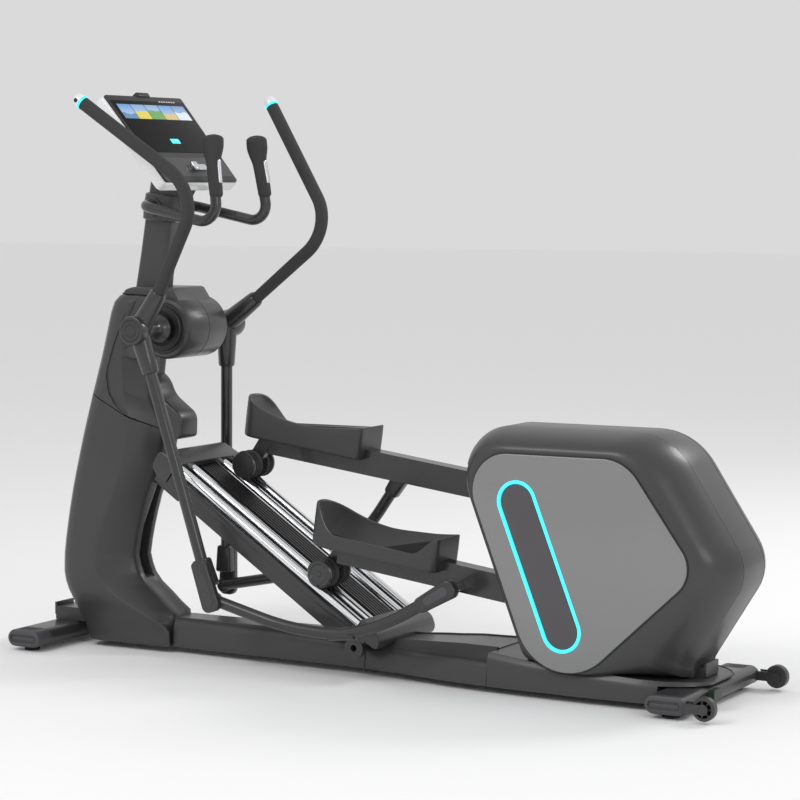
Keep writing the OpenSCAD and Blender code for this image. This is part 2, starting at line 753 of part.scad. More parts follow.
// ---- ramp ----
ear_y0 = 120;
ear_y1 = lug_y0 - gap - 0.5;
block_s = 36;
module ramp_frame() color("dimgray") difference() {
    union() {
        both_sides() {
            ramp_block(lug_r + 12, rail_end + block_s, ramp_half - 10, ramp_half, -6, 32);
            ramp_block(rail_start - block_s, lug_r + 32, ramp_half - 10, ramp_half, 30, 47);
            shaft(pivot, 26, ear_y0, ear_y1);
            ramp_block(-18, 18, ear_y0 + boss_step, ear_y1 - boss_step, 0, 50);
        }
        ramp_block(rail_start - block_s, rail_start, -ramp_half, ramp_half, 46, 74);
        ramp_block(rail_end, rail_end + block_s, -ramp_half, ramp_half, 8, 74);
        // lift fork reaching into the slot of the tower
        both_sides() {
            ramp_block(rail_end + 8, rail_end + block_s, 11, 17, -80, 20);
            ramp_block(rail_end + 8, lift_r + 12, 11, 17, -80, -36);
        }
    }
    both_sides() shaft(pivot, pivot_r + run_gap, ear_y0 - 1, ear_y1 + 1);
}

module ramp_rails() color("white") on_ramp() both_sides()
    for (y = [rail_inner_y, rail_outer_y])
        translate([-rail_start, y, rail_h]) rotate([0, -90, 0]) cylinder(r = rail_r, h = rail_len);

module ramp_end_covers() color("dimgray") {
    ramp_block(rail_start - block_s - 38, rail_start + 4, -ramp_half, ramp_half, 74, 78);
    both_sides() ramp_block(rail_start - block_s - 38, rail_start - block_s, 100, ramp_half, 44, 74);
    ramp_block(rail_end - 4, rail_end + block_s + 20, -ramp_half, ramp_half, 74, 78);
}

module ramp_track() color("dimgray")
    ramp_block(rail_start, rail_end, -46, 46, 40, 62);

// ---- carriages ----
carriage_axle_r = 9;
knuckle_w = 22;
module carriage(side) color("dimgray") {
    c = roller_axle(side);
    m = side * rail_mid_y;
    reach = rail_pitch / 2 + roller_w / 2 + 1;
    shaft(c, carriage_axle_r, m - reach - cap_t, m + reach + cap_t);
    for (e = [-1, 1]) shaft(c, roller_r - 2, m + e * (reach + cap_t / 2) - cap_t / 2, m + e * (reach + cap_t / 2) + cap_t / 2);
}
cap_t = 10;
module left_carriage() carriage(left);
module right_carriage() carriage(right);

module rollers(side) color("black") {
    c = roller_axle(side);
    for (y = [rail_inner_y, rail_outer_y]) translate([c.x, side * y, c.y]) rotate([90, 0, 0]) rotate_extrude()
        difference() {
            translate([carriage_axle_r + run_gap, -roller_w / 2]) square([roller_r - carriage_axle_r - run_gap, roller_w]);
            translate([contact_r + groove_r, 0]) circle(r = groove_r);
        }
}
module left_rollers() rollers(left);
module right_rollers() rollers(right);

// ---- pedal arms ----
beam_rear = -62;                 // rear end of the beam, measured from the crank pin
beam_front = -940;               // front end of the beam, measured from the crank pin
lug_y = [86, 118];               // the bearing lug at the crank pin
pedal_front = -1024;
pedal_low = 20;                  // height of the low outer rim over the beam

module at_arm(side) {
    p = crank_pin(side);
    translate([p.x, 0, p.y]) rotate([0, arm_pitch, 0]) scale([1, side, 1]) children();
}

module pedal_arm(side) color("dimgray") difference() {
    c = roller_axle(side);
    tilt = pin_drop + 52;
    union() {
        at_arm(side) {
            translate([beam_front, arm_y - arm_w / 2, -arm_h / 2]) cube([beam_rear - beam_front, arm_w, arm_h]);
            translate([beam_rear - 1, lug_y[0] + 14, -22]) cube([-beam_rear, lug_y[1] - lug_y[0] - 14, 44]);
            shaft([0, 0], 26, lug_y[0], lug_y[1]);
            shaft([0, 0], 14, crank_outer_y + 0.5, lug_y[1]);
            translate([-stud_back, arm_y - arm_w / 2, -stud_low]) rotate([-90, 0, 0]) cylinder(r = 12, h = arm_w);
        }
        scale([1, side, 1]) {
            shaft(c, 23, rail_mid_y - knuckle_w / 2, rail_mid_y + knuckle_w / 2);
            translate([c.x, rail_mid_y - knuckle_w / 2 + boss_step, c.y]) rotate([0, -tilt, 0])
                translate([0, 0, -20]) cube([96, knuckle_w - 2 * boss_step, 40]);
        }
    }
    shaft(c, carriage_axle_r + run_gap, -200, 200);
}
module left_pedal_arm() pedal_arm(left);
module right_pedal_arm() pedal_arm(right);

module footprint(inset) offset(delta = -inset)
    polygon(outline([
        [pedal_front, pedal_y0, 44], [pedal_front, pedal_y0 + pedal_w, 60],
        [pedal_front + pedal_len, pedal_y0 + pedal_w, 20], [pedal_front + pedal_len, pedal_y0, 20]]));
pedal_y0 = 60;

module pedal(side) color("dimgray") at_arm(side) translate([0, 0, arm_h / 2]) difference() {
    linear_extrude(pedal_rim) footprint(0);
    translate([0, 0, 8]) linear_extrude(pedal_rim) footprint(pedal_wall);
    // the outer side and the tail are cut down to a low rim
    translate([pedal_front + 70, pedal_y0 + pedal_wall + 6, pedal_low]) cube([pedal_len, pedal_w, pedal_rim]);
    translate([pedal_front + 20, pedal_y0 + pedal_w - 50, pedal_low]) cube([pedal_len, pedal_w, pedal_rim]);
}
module left_pedal() pedal(left);
module right_pedal() pedal(right);

// ---- swing arms ----
sleeve_len = 121;
elbow_w = 21;
module turned(side) {
    translate([hub.x, 0, hub.y]) rotate([0, side == left ? 0 : swing, 0]) translate([-hub.x, 0, -hub.y])
        scale([1, side, 1]) children();
}

module rod(p, q, r1, r2) {
    v = q - p;
    translate(p) rotate([0, acos(v.z / norm(v)), atan2(v.y, v.x)]) cylinder(r1 = r1, r2 = r2, h = norm(v));
}

at_y = function(p, y) [p.x, y, p.y];
handle_angle = 57;
foot_dir = unit(elbow_left - hub);
module swing_arm(side) color("dimgray") turned(side) difference() {
    union() {
        shaft(hub, 20.5, hub_inner_y, hub_outer_y + 8);
        shaft(hub, 35, hub_inner_y, hub_inner_y + 14);
        shaft(hub, 40, hub_outer_y - 8, 261);
        rod(at_y(hub, sleeve_y), at_y(polar(hub, sleeve_len, handle_angle), sleeve_y), 30, 23);
        rod(at_y(hub, sleeve_y), at_y(hub + sleeve_len * foot_dir, sleeve_y + 3), 30, 23);
        rod(at_y(hub + 60 * foot_dir, sleeve_y + 1), at_y(elbow_left - 60 * foot_dir, elbow_y), lower_r, lower_r);
        // elbow cover with its pin
        shaft(elbow_left, 27, link_y + 11, link_y + 11 + elbow_w);
        shaft(elbow_left, 8, link_y - 16, link_y + 12);
        shaft(elbow_left, 14, link_y - 16, link_y - 11);
        translate([elbow_left.x, link_y + 11, elbow_left.y])
            rotate([0, -atan2(-foot_dir.y, -foot_dir.x), 0]) translate([0, 0, -26]) {
                cube([110, elbow_w, 52]);
                translate([40, -22, 0]) cube([70, 23, 52]);
            }
    }
    shaft(hub, hub_axle_r + run_gap, 0, hub_outer_y + gap);
}
module left_swing_arm() swing_arm(left);
module right_swing_arm() swing_arm(right);

tip_r = 651;
tip_angle = 103;
corner_r = 433;
corner_angle = 60;
cap_len = 34;
handle_tip = at_y(polar(hub, tip_r, tip_angle), 304);
handle_corner = at_y(polar(hub, corner_r, corner_angle), 251);
handle_start = at_y(polar(hub, sleeve_len + 2.6, handle_angle), sleeve_y + 1);
foam_end = handle_tip - cap_len * unit(handle_tip - handle_corner);
module swing_handle(side) color("dimgray") turned(side) {
    tube(path([concat(handle_start, 0), concat(handle_corner, 110), concat(foam_end, 0)]), handle_r);
    rod(foam_end, handle_tip, handle_r + 1.5, handle_r + 0.5);
}
module left_swing_handle() swing_handle(left);
module right_swing_handle() swing_handle(right);

// ---- links: drawn along +X from the elbow, then turned to point at the ball stud ----
link_sag = 104;
module link(side) color("gray") {
    e = side == left ? elbow_left : elbow_right;
    v = stud(side) - e;
    translate([e.x, 0, e.y]) rotate([0, -atan2(v.y, v.x), 0]) scale([1, side, 1]) difference() {
        union() {
            tube(path([[0, link_y, 0, 0], [280, link_y, -link_sag, 150], [470, link_y, -link_sag, 120],
                [link_len, link_y, 0, 0]]), link_r);
            shaft([0, 0], 20, link_y - 10.5, link_y + 10.5);
            translate([link_len, link_y, 0]) sphere(r = 21);
            shaft([link_len, 0], 9, arm_y + arm_w / 2 + 1, link_y);
        }
        shaft([0, 0], 8 + run_gap, 0, 300);
        // room for the elbow cover beside the eye
        shaft([0, 0], 40, link_y + 10.5, link_y + 60);
        shaft([0, 0], 40, 0, link_y - 10.5);
    }
}
module left_link() link(left);
module right_link() link(right);

base_frame();
stabilizers();
stabilizer_caps();
rubber_feet();
tower_post();
tower_shroud();
tower_head_shroud();
tower_cap_plate();
hub_trim_rings();
bearings();
pivot_axle();
mast();
handlebar_collar();
fixed_handlebar();
fixed_grips();
console_shell();
console_bezel();
screen_panel();
console_bracket();
beam_cover();
beam_flare_cover();
housing_spine();
housing_side_shells();
side_panels();
strip_inserts();
led_rings();
rear_plinth();
wheel_brackets();
drive_frame();
drive_belt();
lift_actuator();
control_electronics();
crank_axle();
crank_arms();
drive_pulley();
flywheel();
idler_pulley();
ramp_frame();
ramp_rails();
ramp_end_covers();
ramp_track();
left_carriage();
right_carriage();
left_rollers();
right_rollers();
left_pedal_arm();
right_pedal_arm();
left_pedal();
right_pedal();
left_swing_arm();
right_swing_arm();
left_swing_handle();
right_swing_handle();
left_link();
right_link();
left_transport_wheel();
right_transport_wheel();
left_grip_keys();
right_grip_keys();
console_lever();
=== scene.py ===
"""Looks of a front-tower elliptical trainer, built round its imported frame.

Lengths in the dataclasses are millimetres in the frame's axes: +X to the drive housing,
-Y to the user's left, +Z up. MM turns them into metres.
"""
import json
import logging
import math
from dataclasses import dataclass, field
from enum import Enum
from typing import Any, Callable, Sequence

import bmesh
import bpy
from mathutils import Matrix, Vector

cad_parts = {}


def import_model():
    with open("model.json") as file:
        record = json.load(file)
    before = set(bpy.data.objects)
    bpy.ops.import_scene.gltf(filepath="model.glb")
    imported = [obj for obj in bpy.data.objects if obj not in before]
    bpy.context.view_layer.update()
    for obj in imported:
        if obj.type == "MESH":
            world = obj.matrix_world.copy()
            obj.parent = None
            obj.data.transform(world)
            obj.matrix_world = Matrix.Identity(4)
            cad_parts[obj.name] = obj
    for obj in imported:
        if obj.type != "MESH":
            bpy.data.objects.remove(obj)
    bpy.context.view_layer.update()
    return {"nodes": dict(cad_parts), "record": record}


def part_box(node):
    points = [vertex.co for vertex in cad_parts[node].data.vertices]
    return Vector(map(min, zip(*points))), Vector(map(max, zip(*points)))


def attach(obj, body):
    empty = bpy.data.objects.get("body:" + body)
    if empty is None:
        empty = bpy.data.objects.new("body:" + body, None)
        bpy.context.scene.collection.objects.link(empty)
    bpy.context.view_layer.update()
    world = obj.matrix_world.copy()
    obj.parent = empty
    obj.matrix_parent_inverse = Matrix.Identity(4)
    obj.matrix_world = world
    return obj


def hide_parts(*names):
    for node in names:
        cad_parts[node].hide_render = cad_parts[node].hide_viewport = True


LOG = logging.getLogger("trainer")
MM = 0.001
SIDES = {"left": -1, "right": 1}
CREASE = 32.0  # degrees over which an edge of a cut or rounded piece is sharp
RECORD: dict[str, Any] = {}  # the frame's record, filled by main
Point = tuple[float, float]
Corner = tuple[float, float, float]
HUB: Point = (-636.0, 915.0)  # centre of the swing arms' axle, X and Z


# ---- shader maths ----
class Socket:
    """An output socket whose +, * and > add Math nodes."""

    def __init__(self, tree: bpy.types.NodeTree, out: bpy.types.NodeSocket) -> None:
        """Wraps the output out of a node in tree."""
        self.tree, self.out = tree, out

    def _math(self, operation: str, a: Any, b: Any) -> "Socket":
        """Adds one Math node.

        Args:
            operation: The node's operation.
            a: First value, a number or a Socket.
            b: Second value, a number or a Socket.

        Returns:
            The node's output.
        """
        node = self.tree.nodes.new("ShaderNodeMath")
        node.operation = operation
        for socket, value in zip(node.inputs, (a, b)):
            if isinstance(value, Socket):
                self.tree.links.new(value.out, socket)
            else:
                socket.default_value = value
        return Socket(self.tree, node.outputs[0])

    def __add__(self, other: Any) -> "Socket":
        """self + other."""
        return self._math("ADD", self, other)

    def __mul__(self, other: Any) -> "Socket":
        """self * other."""
        return self._math("MULTIPLY", self, other)

    def __gt__(self, other: Any) -> "Socket":
        """1 where self is over other."""
        return self._math("GREATER_THAN", self, other)


class Shader:
    """A material under construction."""

    def __init__(self, name: str) -> None:
        """Makes an empty material called name with one Principled BSDF."""
        self.material = bpy.data.materials.new(name)
        self.material.use_nodes = True
        self.tree = self.material.node_tree
        self.surface = self.tree.nodes["Principled BSDF"]

    def node(self, kind: str, settings: dict[str, Any] | None = None,
             inputs: dict[Any, Any] | None = None, out: Any = 0) -> Socket:
        """Adds a node of any type.

        Args:
            kind: The node's type.
            settings: Properties set before the sockets are filled.
            inputs: Socket name or index to a value or a Socket.
            out: Name or index of the wanted output.

        Returns:
            That output.
        """
        node = self.tree.nodes.new(kind)
        for key, value in (settings or {}).items():
            setattr(node, key, value)
        for key, value in (inputs or {}).items():
            if isinstance(value, Socket):
                self.tree.links.new(value.out, node.inputs[key])
            else:
                node.inputs[key].default_value = value
        return Socket(self.tree, node.outputs[out])

    def place(self, stretch: Sequence[float] = (1, 1, 1), turn: Sequence[float] = (0, 0, 0)) -> Socket:
        """Object coordinates, turned and stretched."""
        where = self.node("ShaderNodeTexCoord", out="Object")
        return self.node("ShaderNodeMapping", None,
                         {"Vector": where, "Scale": stretch, "Rotation": turn})

    def noise(self, where: Socket, per_metre: float, detail: float = 3.0) -> Socket:
        """Noise at a scale of per_metre features to the metre."""
        return self.node("ShaderNodeTexNoise", None,
                         {"Vector": where, "Scale": per_metre, "Detail": detail})

    def blend(self, factor: Any, first: Any, second: Any) -> Socket:
        """Mixes two colours by factor."""
        return self.node("ShaderNodeMix", {"data_type": "RGBA"}, {0: factor, 6: first, 7: second}, 2)

    def set(self, socket: str, value: Any) -> None:
        """Fills a socket of the surface with a value or a Socket."""
        if isinstance(value, Socket):
            self.tree.links.new(value.out, self.surface.inputs[socket])
        else:
            self.surface.inputs[socket].default_value = value

    def bump(self, height: Socket, distance: float, strength: float = 1.0) -> None:
        """Feeds Normal from a height; distance is in metres."""
        self.set("Normal", self.node("ShaderNodeBump", None, {
            "Height": height, "Distance": distance, "Strength": strength}))


def shade(colour: Sequence[float], factor: float) -> tuple[float, float, float, float]:
    """The colour made factor times as bright."""
    return tuple(min(1.0, c * factor) for c in colour) + (1.0,)


# ---- finishes ----
@dataclass(frozen=True)
class Moulded:
    """Moulded plastic or paint with a fine grain and faint streaks in its tone."""

    name: str
    colour: tuple[float, float, float]
    rough: float = 0.45
    grain: float = 0.7
    depth: float = 0.06
    vary: float = 0.14
    coat: float = 0.0
    metallic: float = 0.0
    gleam: float = 0.5

    def material(self) -> bpy.types.Material:
        """Builds the material."""
        s = Shader(self.name)
        where = s.place()
        broad = s.noise(where, 5.0, 4.0)
        fine = s.noise(where, 1 / (self.grain * MM), 2.0)
        streak = s.noise(s.place((1, 1, 7)), 18.0, 5.0)
        s.set("Base Color", s.blend(broad * 0.6 + streak * 0.4, shade(self.colour, 1 - self.vary),
                                    shade(self.colour, 1 + self.vary)))
        s.set("Roughness", broad * 0.12 + fine * 0.08 + (self.rough - 0.1))
        s.set("Metallic", self.metallic)
        s.set("Coat Weight", self.coat)
        s.set("Specular IOR Level", self.gleam)
        s.bump(fine, self.depth * MM, 0.5)
        return s.material


@dataclass(frozen=True)
class Foam:
    """Closed-cell foam or rubber with small pores."""

    name: str
    colour: tuple[float, float, float]
    cell: float = 1.6
    rough: float = 0.8

    def material(self) -> bpy.types.Material:
        """Builds the material."""
        s = Shader(self.name)
        where = s.place()
        cells = s.node("ShaderNodeTexVoronoi", None, {"Vector": where, "Scale": 1 / (self.cell * MM)})
        broad = s.noise(where, 12.0)
        s.set("Base Color", s.blend(broad * 0.7 + cells * 0.3, shade(self.colour, 0.78),
                                    shade(self.colour, 1.2)))
        s.set("Roughness", broad * 0.1 + (self.rough - 0.05))
        s.bump(cells, 0.12 * MM, 0.6)
        return s.material


@dataclass(frozen=True)
class Metal:
    """Bare metal with fine lines left by grinding or drawing."""

    name: str
    colour: tuple[float, float, float]
    rough: float = 0.2
    lines: tuple[float, float, float] = (1.0, 40.0, 1.0)
    depth: float = 0.01

    def material(self) -> bpy.types.Material:
        """Builds the material."""
        s = Shader(self.name)
        lines = s.noise(s.place(self.lines), 30.0, 4.0)
        broad = s.noise(s.place(), 9.0)
        s.set("Base Color", s.blend(broad, shade(self.colour, 0.9), shade(self.colour, 1.06)))
        s.set("Metallic", 1.0)
        s.set("Roughness", lines * 0.14 + broad * 0.05 + (self.rough - 0.08))
        s.bump(lines, self.depth * MM, 0.4)
        return s.material


@dataclass(frozen=True)
class Lit:
    """A light guide that glows evenly."""

    name: str
    colour: tuple[float, float, float]
    strength: float = 1.0

    def material(self) -> bpy.types.Material:
        """Builds the material."""
        s = Shader(self.name)
        soft = s.noise(s.place(), 60.0)
        tint = s.blend(soft, shade(self.colour, 0.92), shade(self.colour, 1.05))
        s.set("Base Color", tint)
        s.set("Emission Color", tint)
        s.set("Emission Strength", self.strength)
        s.set("Roughness", soft * 0.1 + 0.25)
        return s.material


@dataclass(frozen=True)
class Picture:
    """A lit tile with a made-up landscape: a sky over rolling ground, on the tile's own UV map."""

    name: str
    sky: tuple[float, float, float]
    ground: tuple[float, float, float]
    hill: float = 0.5
    strength: float = 0.45

    def material(self) -> bpy.types.Material:
        """Builds the material."""
        s = Shader(self.name)
        uv = s.node("ShaderNodeTexCoord", out="UV")
        across = s.node("ShaderNodeSeparateXYZ", None, {"Vector": uv}, "X")
        height = s.node("ShaderNodeSeparateXYZ", None, {"Vector": uv}, "Y")
        ridge = s.noise(s.node("ShaderNodeCombineXYZ", None, {"X": across, "Y": self.hill * 9}), 2.5, 5.0)
        below = (ridge * 0.5 + (self.hill - 0.25)) > height
        patches = s.noise(uv, 6.0, 4.0)
        sky = s.blend(height, (0.35, 0.45, 0.6, 1), shade(self.sky, 0.6))
        land = s.blend(patches, shade(self.ground, 0.45), shade(self.ground, 1.35))
        colour = s.blend(below, sky, land)
        s.set("Base Color", colour)
        s.set("Emission Color", colour)
        s.set("Emission Strength", self.strength)
        s.set("Roughness", patches * 0.05 + 0.1)
        return s.material


class Look(Enum):
    """The finishes of the object."""

    FRAME = Moulded("frame_paint_finish", (0.032, 0.032, 0.034), 0.34, 1.2, 0.05, 0.1, 0.15)
    CHARCOAL = Moulded("cover_charcoal_finish", (0.04, 0.04, 0.041), 0.36, 0.8, 0.05, 0.08, 0.1)
    CAP = Moulded("cap_plastic_finish", (0.062, 0.059, 0.064), 0.5, 0.9, 0.07)
    BLACK = Moulded("trim_black_finish", (0.01, 0.01, 0.011), 0.4, 0.7, 0.04)
    ARM = Moulded("arm_paint_finish", (0.028, 0.028, 0.029), 0.28, 1.4, 0.04, 0.1, 0.25)
    LINK = Moulded("link_grey_finish", (0.026, 0.026, 0.027), 0.34, 1.4, 0.04, 0.1, 0.25)
    PANEL = Moulded("panel_silver_finish", (0.225, 0.225, 0.227), 0.34, 0.5, 0.02, 0.05, 0.5, 0.25)
    INSERT = Moulded("insert_violet_finish", (0.07, 0.064, 0.071), 0.4, 0.6, 0.04, 0.08, 0.2)
    PEDAL = Moulded("pedal_black_finish", (0.038, 0.038, 0.039), 0.4, 1.0, 0.1)
    WHITE = Moulded("console_white_finish", (0.78, 0.78, 0.79), 0.3, 0.8, 0.02, 0.03, 0.5)
    GLASS = Moulded("screen_black_finish", (0.003, 0.003, 0.0035), 0.16, 3.0, 0.002, 0.1, 0.0, 0.0, 0.1)
    KEY = Moulded("key_grey_finish", (0.16, 0.16, 0.165), 0.5, 0.8, 0.05)
    MOTOR = Moulded("motor_grey_finish", (0.22, 0.22, 0.23), 0.4, 1.0, 0.05)
    BOARD = Moulded("board_green_finish", (0.012, 0.03, 0.018), 0.4, 2.0, 0.1, 0.3)
    PULLEY = Moulded("pulley_plastic_finish", (0.16, 0.16, 0.165), 0.5, 1.0, 0.06)
    IRON = Metal("flywheel_iron_finish", (0.36, 0.36, 0.37), 0.35, (1, 1, 1), 0.03)
    STEEL = Metal("bright_steel_finish", (0.62, 0.62, 0.64), 0.25)
    CHROME = Metal("rail_chrome_finish", (0.86, 0.87, 0.89), 0.14, (1, 60, 1), 0.004)
    SILVER = Metal("lever_silver_finish", (0.68, 0.69, 0.71), 0.28, (40, 1, 1))
    FOAM = Foam("grip_foam_finish", (0.033, 0.033, 0.034))
    RUBBER = Foam("rubber_black_finish", (0.025, 0.025, 0.026), 2.2)
    ROLLER = Foam("roller_black_finish", (0.035, 0.035, 0.037), 2.6, 0.6)
    BELT = Foam("belt_rubber_finish", (0.02, 0.02, 0.02), 2.0)
    CYAN = Lit("led_cyan_finish", (0.06, 0.83, 0.95), 0.75)
    TILE_A = Picture("tile_lake", (0.12, 0.35, 0.75), (0.08, 0.2, 0.35), 0.35)
    TILE_B = Picture("tile_meadow", (0.25, 0.45, 0.7), (0.6, 0.5, 0.08), 0.5)
    TILE_C = Picture("tile_forest", (0.3, 0.5, 0.72), (0.12, 0.3, 0.08), 0.6)
    TILE_D = Picture("tile_shore", (0.15, 0.4, 0.8), (0.55, 0.42, 0.2), 0.4)
    TILE_E = Picture("tile_snow", (0.2, 0.38, 0.66), (0.6, 0.65, 0.72), 0.55)

    def material(self) -> bpy.types.Material:
        """The finish's material, built once."""
        return bpy.data.materials.get(self.value.name) or self.value.material()


# ---- shapes ----
def mm(*values: float) -> Vector:
    """A vector from millimetres."""
    return Vector(values) * MM


def extent(node: str) -> tuple[Corner, Corner]:
    """Lower and upper corner of a node's box, in millimetres."""
    low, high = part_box(node)
    return tuple(v / MM for v in low), tuple(v / MM for v in high)


def circle(steps: int) -> list[Point]:
    """Cosine and sine of evenly spaced turns."""
    return [(math.cos(t), math.sin(t)) for t in (2 * math.pi * k / steps for k in range(steps))]


def ease(t: float) -> float:
    """Smooth step from 0 to 1."""
    t = max(0.0, min(1.0, t))
    return t * t * (3 - 2 * t)


def denser(rows: Sequence[Sequence[float]], parts: int = 3) -> list[Sequence[float]]:
    """Rows with each gap between two of them split into even parts."""
    out = [[p + (q - p) * i / parts for p, q in zip(a, b)] for a, b in zip(rows, rows[1:])
           for i in range(parts)]
    return [*out, rows[-1]]


def fillet(a: Vector, b: Vector, c: Vector, reach: float, steps: int) -> list[Vector]:
    """Arc that rounds the corner b of a-b-c.

    Args:
        a: Point before the corner.
        b: The corner.
        c: Point after the corner.
        reach: Distance from the corner at which the arc starts.
        steps: Pieces along the arc.

    Returns:
        The arc's points.
    """
    u, v = (a - b).normalized(), (c - b).normalized()
    half = u.angle(v) / 2
    centre = b + (u + v).normalized() * reach / math.cos(half)
    p, q = b + u * reach, b + v * reach
    radius = reach * math.tan(half)
    return [centre + radius * (p.lerp(q, i / steps) - centre).normalized() for i in range(steps + 1)]


def outline(corners: Sequence[Corner], steps: int = 8) -> list[Vector]:
    """Closed outline in X and Z; each corner has the distance at which its rounding starts."""
    flat = [Vector((x, z)) for x, z, _ in corners]
    points: list[Vector] = []
    for i, (_, _, reach) in enumerate(corners):
        a, b, c = flat[i - 1], flat[i], flat[(i + 1) % len(flat)]
        points += fillet(a, b, c, reach, steps) if reach else [b]
    return points


def route(corners: Sequence[tuple[float, float, float, float]], steps: int = 12) -> list[Vector]:
    """Open path in space through corners (x, y, z, start of rounding), in millimetres."""
    space = [Vector(c[:3]) for c in corners]
    points = [space[0]]
    for i in range(1, len(space) - 1):
        reach = corners[i][3]
        points += fillet(space[i - 1], space[i], space[i + 1], reach, steps) if reach else [space[i]]
    return points + [space[-1]]


def resample(loop: Sequence[Vector], count: int, start: Vector) -> list[Vector]:
    """Points evenly spaced along a closed loop.

    Args:
        loop: The loop's corners.
        count: Number of points wanted.
        start: The loop starts at its point nearest to this one.

    Returns:
        The new loop.
    """
    first = min(range(len(loop)), key=lambda i: (loop[i] - start).length)
    ordered = [*loop[first:], *loop[:first], loop[first]]
    spans = [(b - a).length for a, b in zip(ordered, ordered[1:])]
    total, out, i, passed = sum(spans), [], 0, 0.0
    for k in range(count):
        target = total * k / count
        while passed + spans[i] < target:
            passed += spans[i]
            i += 1
        out.append(ordered[i].lerp(ordered[i + 1], (target - passed) / max(spans[i], 1e-9)))
    return out


def shrink(loop: Sequence[Vector], inset: float) -> list[Vector]:
    """Moves each point of a loop inwards by inset, whichever way round it runs."""
    area = sum(a.x * b.y - b.x * a.y for a, b in zip(loop, [*loop[1:], loop[0]]))
    sign = 1 if area > 0 else -1
    out = []
    for i, p in enumerate(loop):
        along = (loop[(i + 1) % len(loop)] - loop[i - 1]).normalized()
        out.append(p + Vector((-along.y, along.x)) * inset * sign)
    return out


def mesh_object(name: str, verts: Sequence[Vector], faces: Sequence[Sequence[int]],
                smooth: float = 35.0) -> bpy.types.Object:
    """Makes an object from a mesh in metres, with outward normals and sharp edges over smooth degrees."""
    mesh = bpy.data.meshes.new(name)
    mesh.from_pydata([tuple(v) for v in verts], [], [tuple(f) for f in faces])
    obj = bpy.data.objects.new(name, mesh)
    bpy.context.scene.collection.objects.link(obj)
    tidy_mesh(obj, smooth)
    return obj


def tidy_mesh(obj: bpy.types.Object, smooth: float = 35.0, merge: float = 1e-5) -> None:
    """Merges doubles, turns faces outwards and sets which edges are sharp."""
    bm = bmesh.new()
    bm.from_mesh(obj.data)
    bmesh.ops.remove_doubles(bm, verts=bm.verts, dist=merge)
    bmesh.ops.dissolve_degenerate(bm, edges=bm.edges, dist=merge)
    bmesh.ops.recalc_face_normals(bm, faces=bm.faces)
    bm.to_mesh(obj.data)
    bm.free()
    obj.data.shade_smooth()
    obj.data.set_sharp_from_angle(angle=math.radians(smooth))


def loft(name: str, rings: Sequence[Sequence[Vector]], smooth: float = 35.0,
         cap: bool = True) -> bpy.types.Object:
    """Joins rings of as many points each, in metres, into one closed skin.

    Args:
        name: The object's name.
        rings: The rings, in order.
        smooth: Angle over which an edge is sharp, in degrees.
        cap: Whether the ends are closed.

    Returns:
        The object.
    """
    n = len(rings[0])
    verts = [p for ring in rings for p in ring]
    faces = [(i * n + k, i * n + (k + 1) % n, (i + 1) * n + (k + 1) % n, (i + 1) * n + k)
             for i in range(len(rings) - 1) for k in range(n)]
    if cap:
        faces += [tuple(range(n)), tuple(range(len(verts) - n, len(verts)))]
    return mesh_object(name, verts, faces, smooth)


def slab(name: str, loop: Sequence[Vector], y0: float, y1: float, edge: float = 3.0,
         smooth: float = 30.0) -> bpy.types.Object:
    """A plate between y0 and y1 with an outline in X and Z and rounded edges, all in millimetres."""
    steps = 4
    turns = [math.pi / 2 * i / steps for i in range(steps + 1)]
    lower = [(edge * (1 - math.sin(t)), y0 + edge * (1 - math.cos(t))) for t in turns]
    upper = [(inset, y0 + y1 - y) for inset, y in reversed(lower)]
    rings = [[mm(p.x, y, p.y) for p in shrink(loop, inset)] for inset, y in lower + upper]
    return loft(name, rings, smooth)


def sweep(name: str, path: Sequence[Vector], radius: Callable[[float], tuple[float, float]] | float,
          sides: int = 28, ref: Sequence[float] = (0, 1, 0), round_ends: float = 0.0) -> bpy.types.Object:
    """A tube along a path in millimetres.

    Args:
        name: The object's name.
        path: Points of the centreline.
        radius: One radius, or a function of the share of the way that gives the two half widths.
        sides: Points in a ring.
        ref: Direction that each ring is turned to.
        round_ends: Length of the rounding at each end.

    Returns:
        The object.
    """
    size = radius if callable(radius) else (lambda share: (radius, radius))
    spans = [0.0]
    for a, b in zip(path, path[1:]):
        spans.append(spans[-1] + (b - a).length)

    def direction(i: int) -> Vector:
        """Direction of the path at its point i."""
        return (path[min(i + 1, len(path) - 1)] - path[max(i - 1, 0)]).normalized()

    def ring(at: Vector, i: int, scale: float, share: float) -> list[Vector]:
        """One ring round a point, square to the path at its point i."""
        along = direction(i)
        u = Vector(ref).cross(along).normalized()
        w = along.cross(u)
        a, b = size(share)
        return [(at + u * c * a * scale + w * d * b * scale) * MM for c, d in circle(sides)]

    def tip(i: int, way: int) -> list[list[Vector]]:
        """Rings of the rounding past point i, from the outermost one inwards."""
        return [ring(path[i] + direction(i) * way * round_ends * math.cos(t), i,
                     max(math.sin(t), thinnest), float(way > 0)) for t in turns]

    steps, thinnest = 5, 0.08
    turns = [math.pi / 2 * i / steps for i in range(steps)] if round_ends else []
    along_path = [ring(at, i, 1.0, passed / spans[-1]) for i, (at, passed) in enumerate(zip(path, spans))]
    return loft(name, [*tip(0, -1), *along_path, *reversed(tip(len(path) - 1, 1))], 40)


def lathe(name: str, profile: Sequence[Point], centre: Point, side: int = 1, steps: int = 64,
          smooth: float = 30.0) -> bpy.types.Object:
    """Turns a profile of (radius, |y|) about a line along Y, in millimetres."""
    rings = [[mm(centre[0] + radius * c, side * y, centre[1] + radius * s) for c, s in circle(steps)]
             for radius, y in profile]
    return loft(name, rings, smooth)


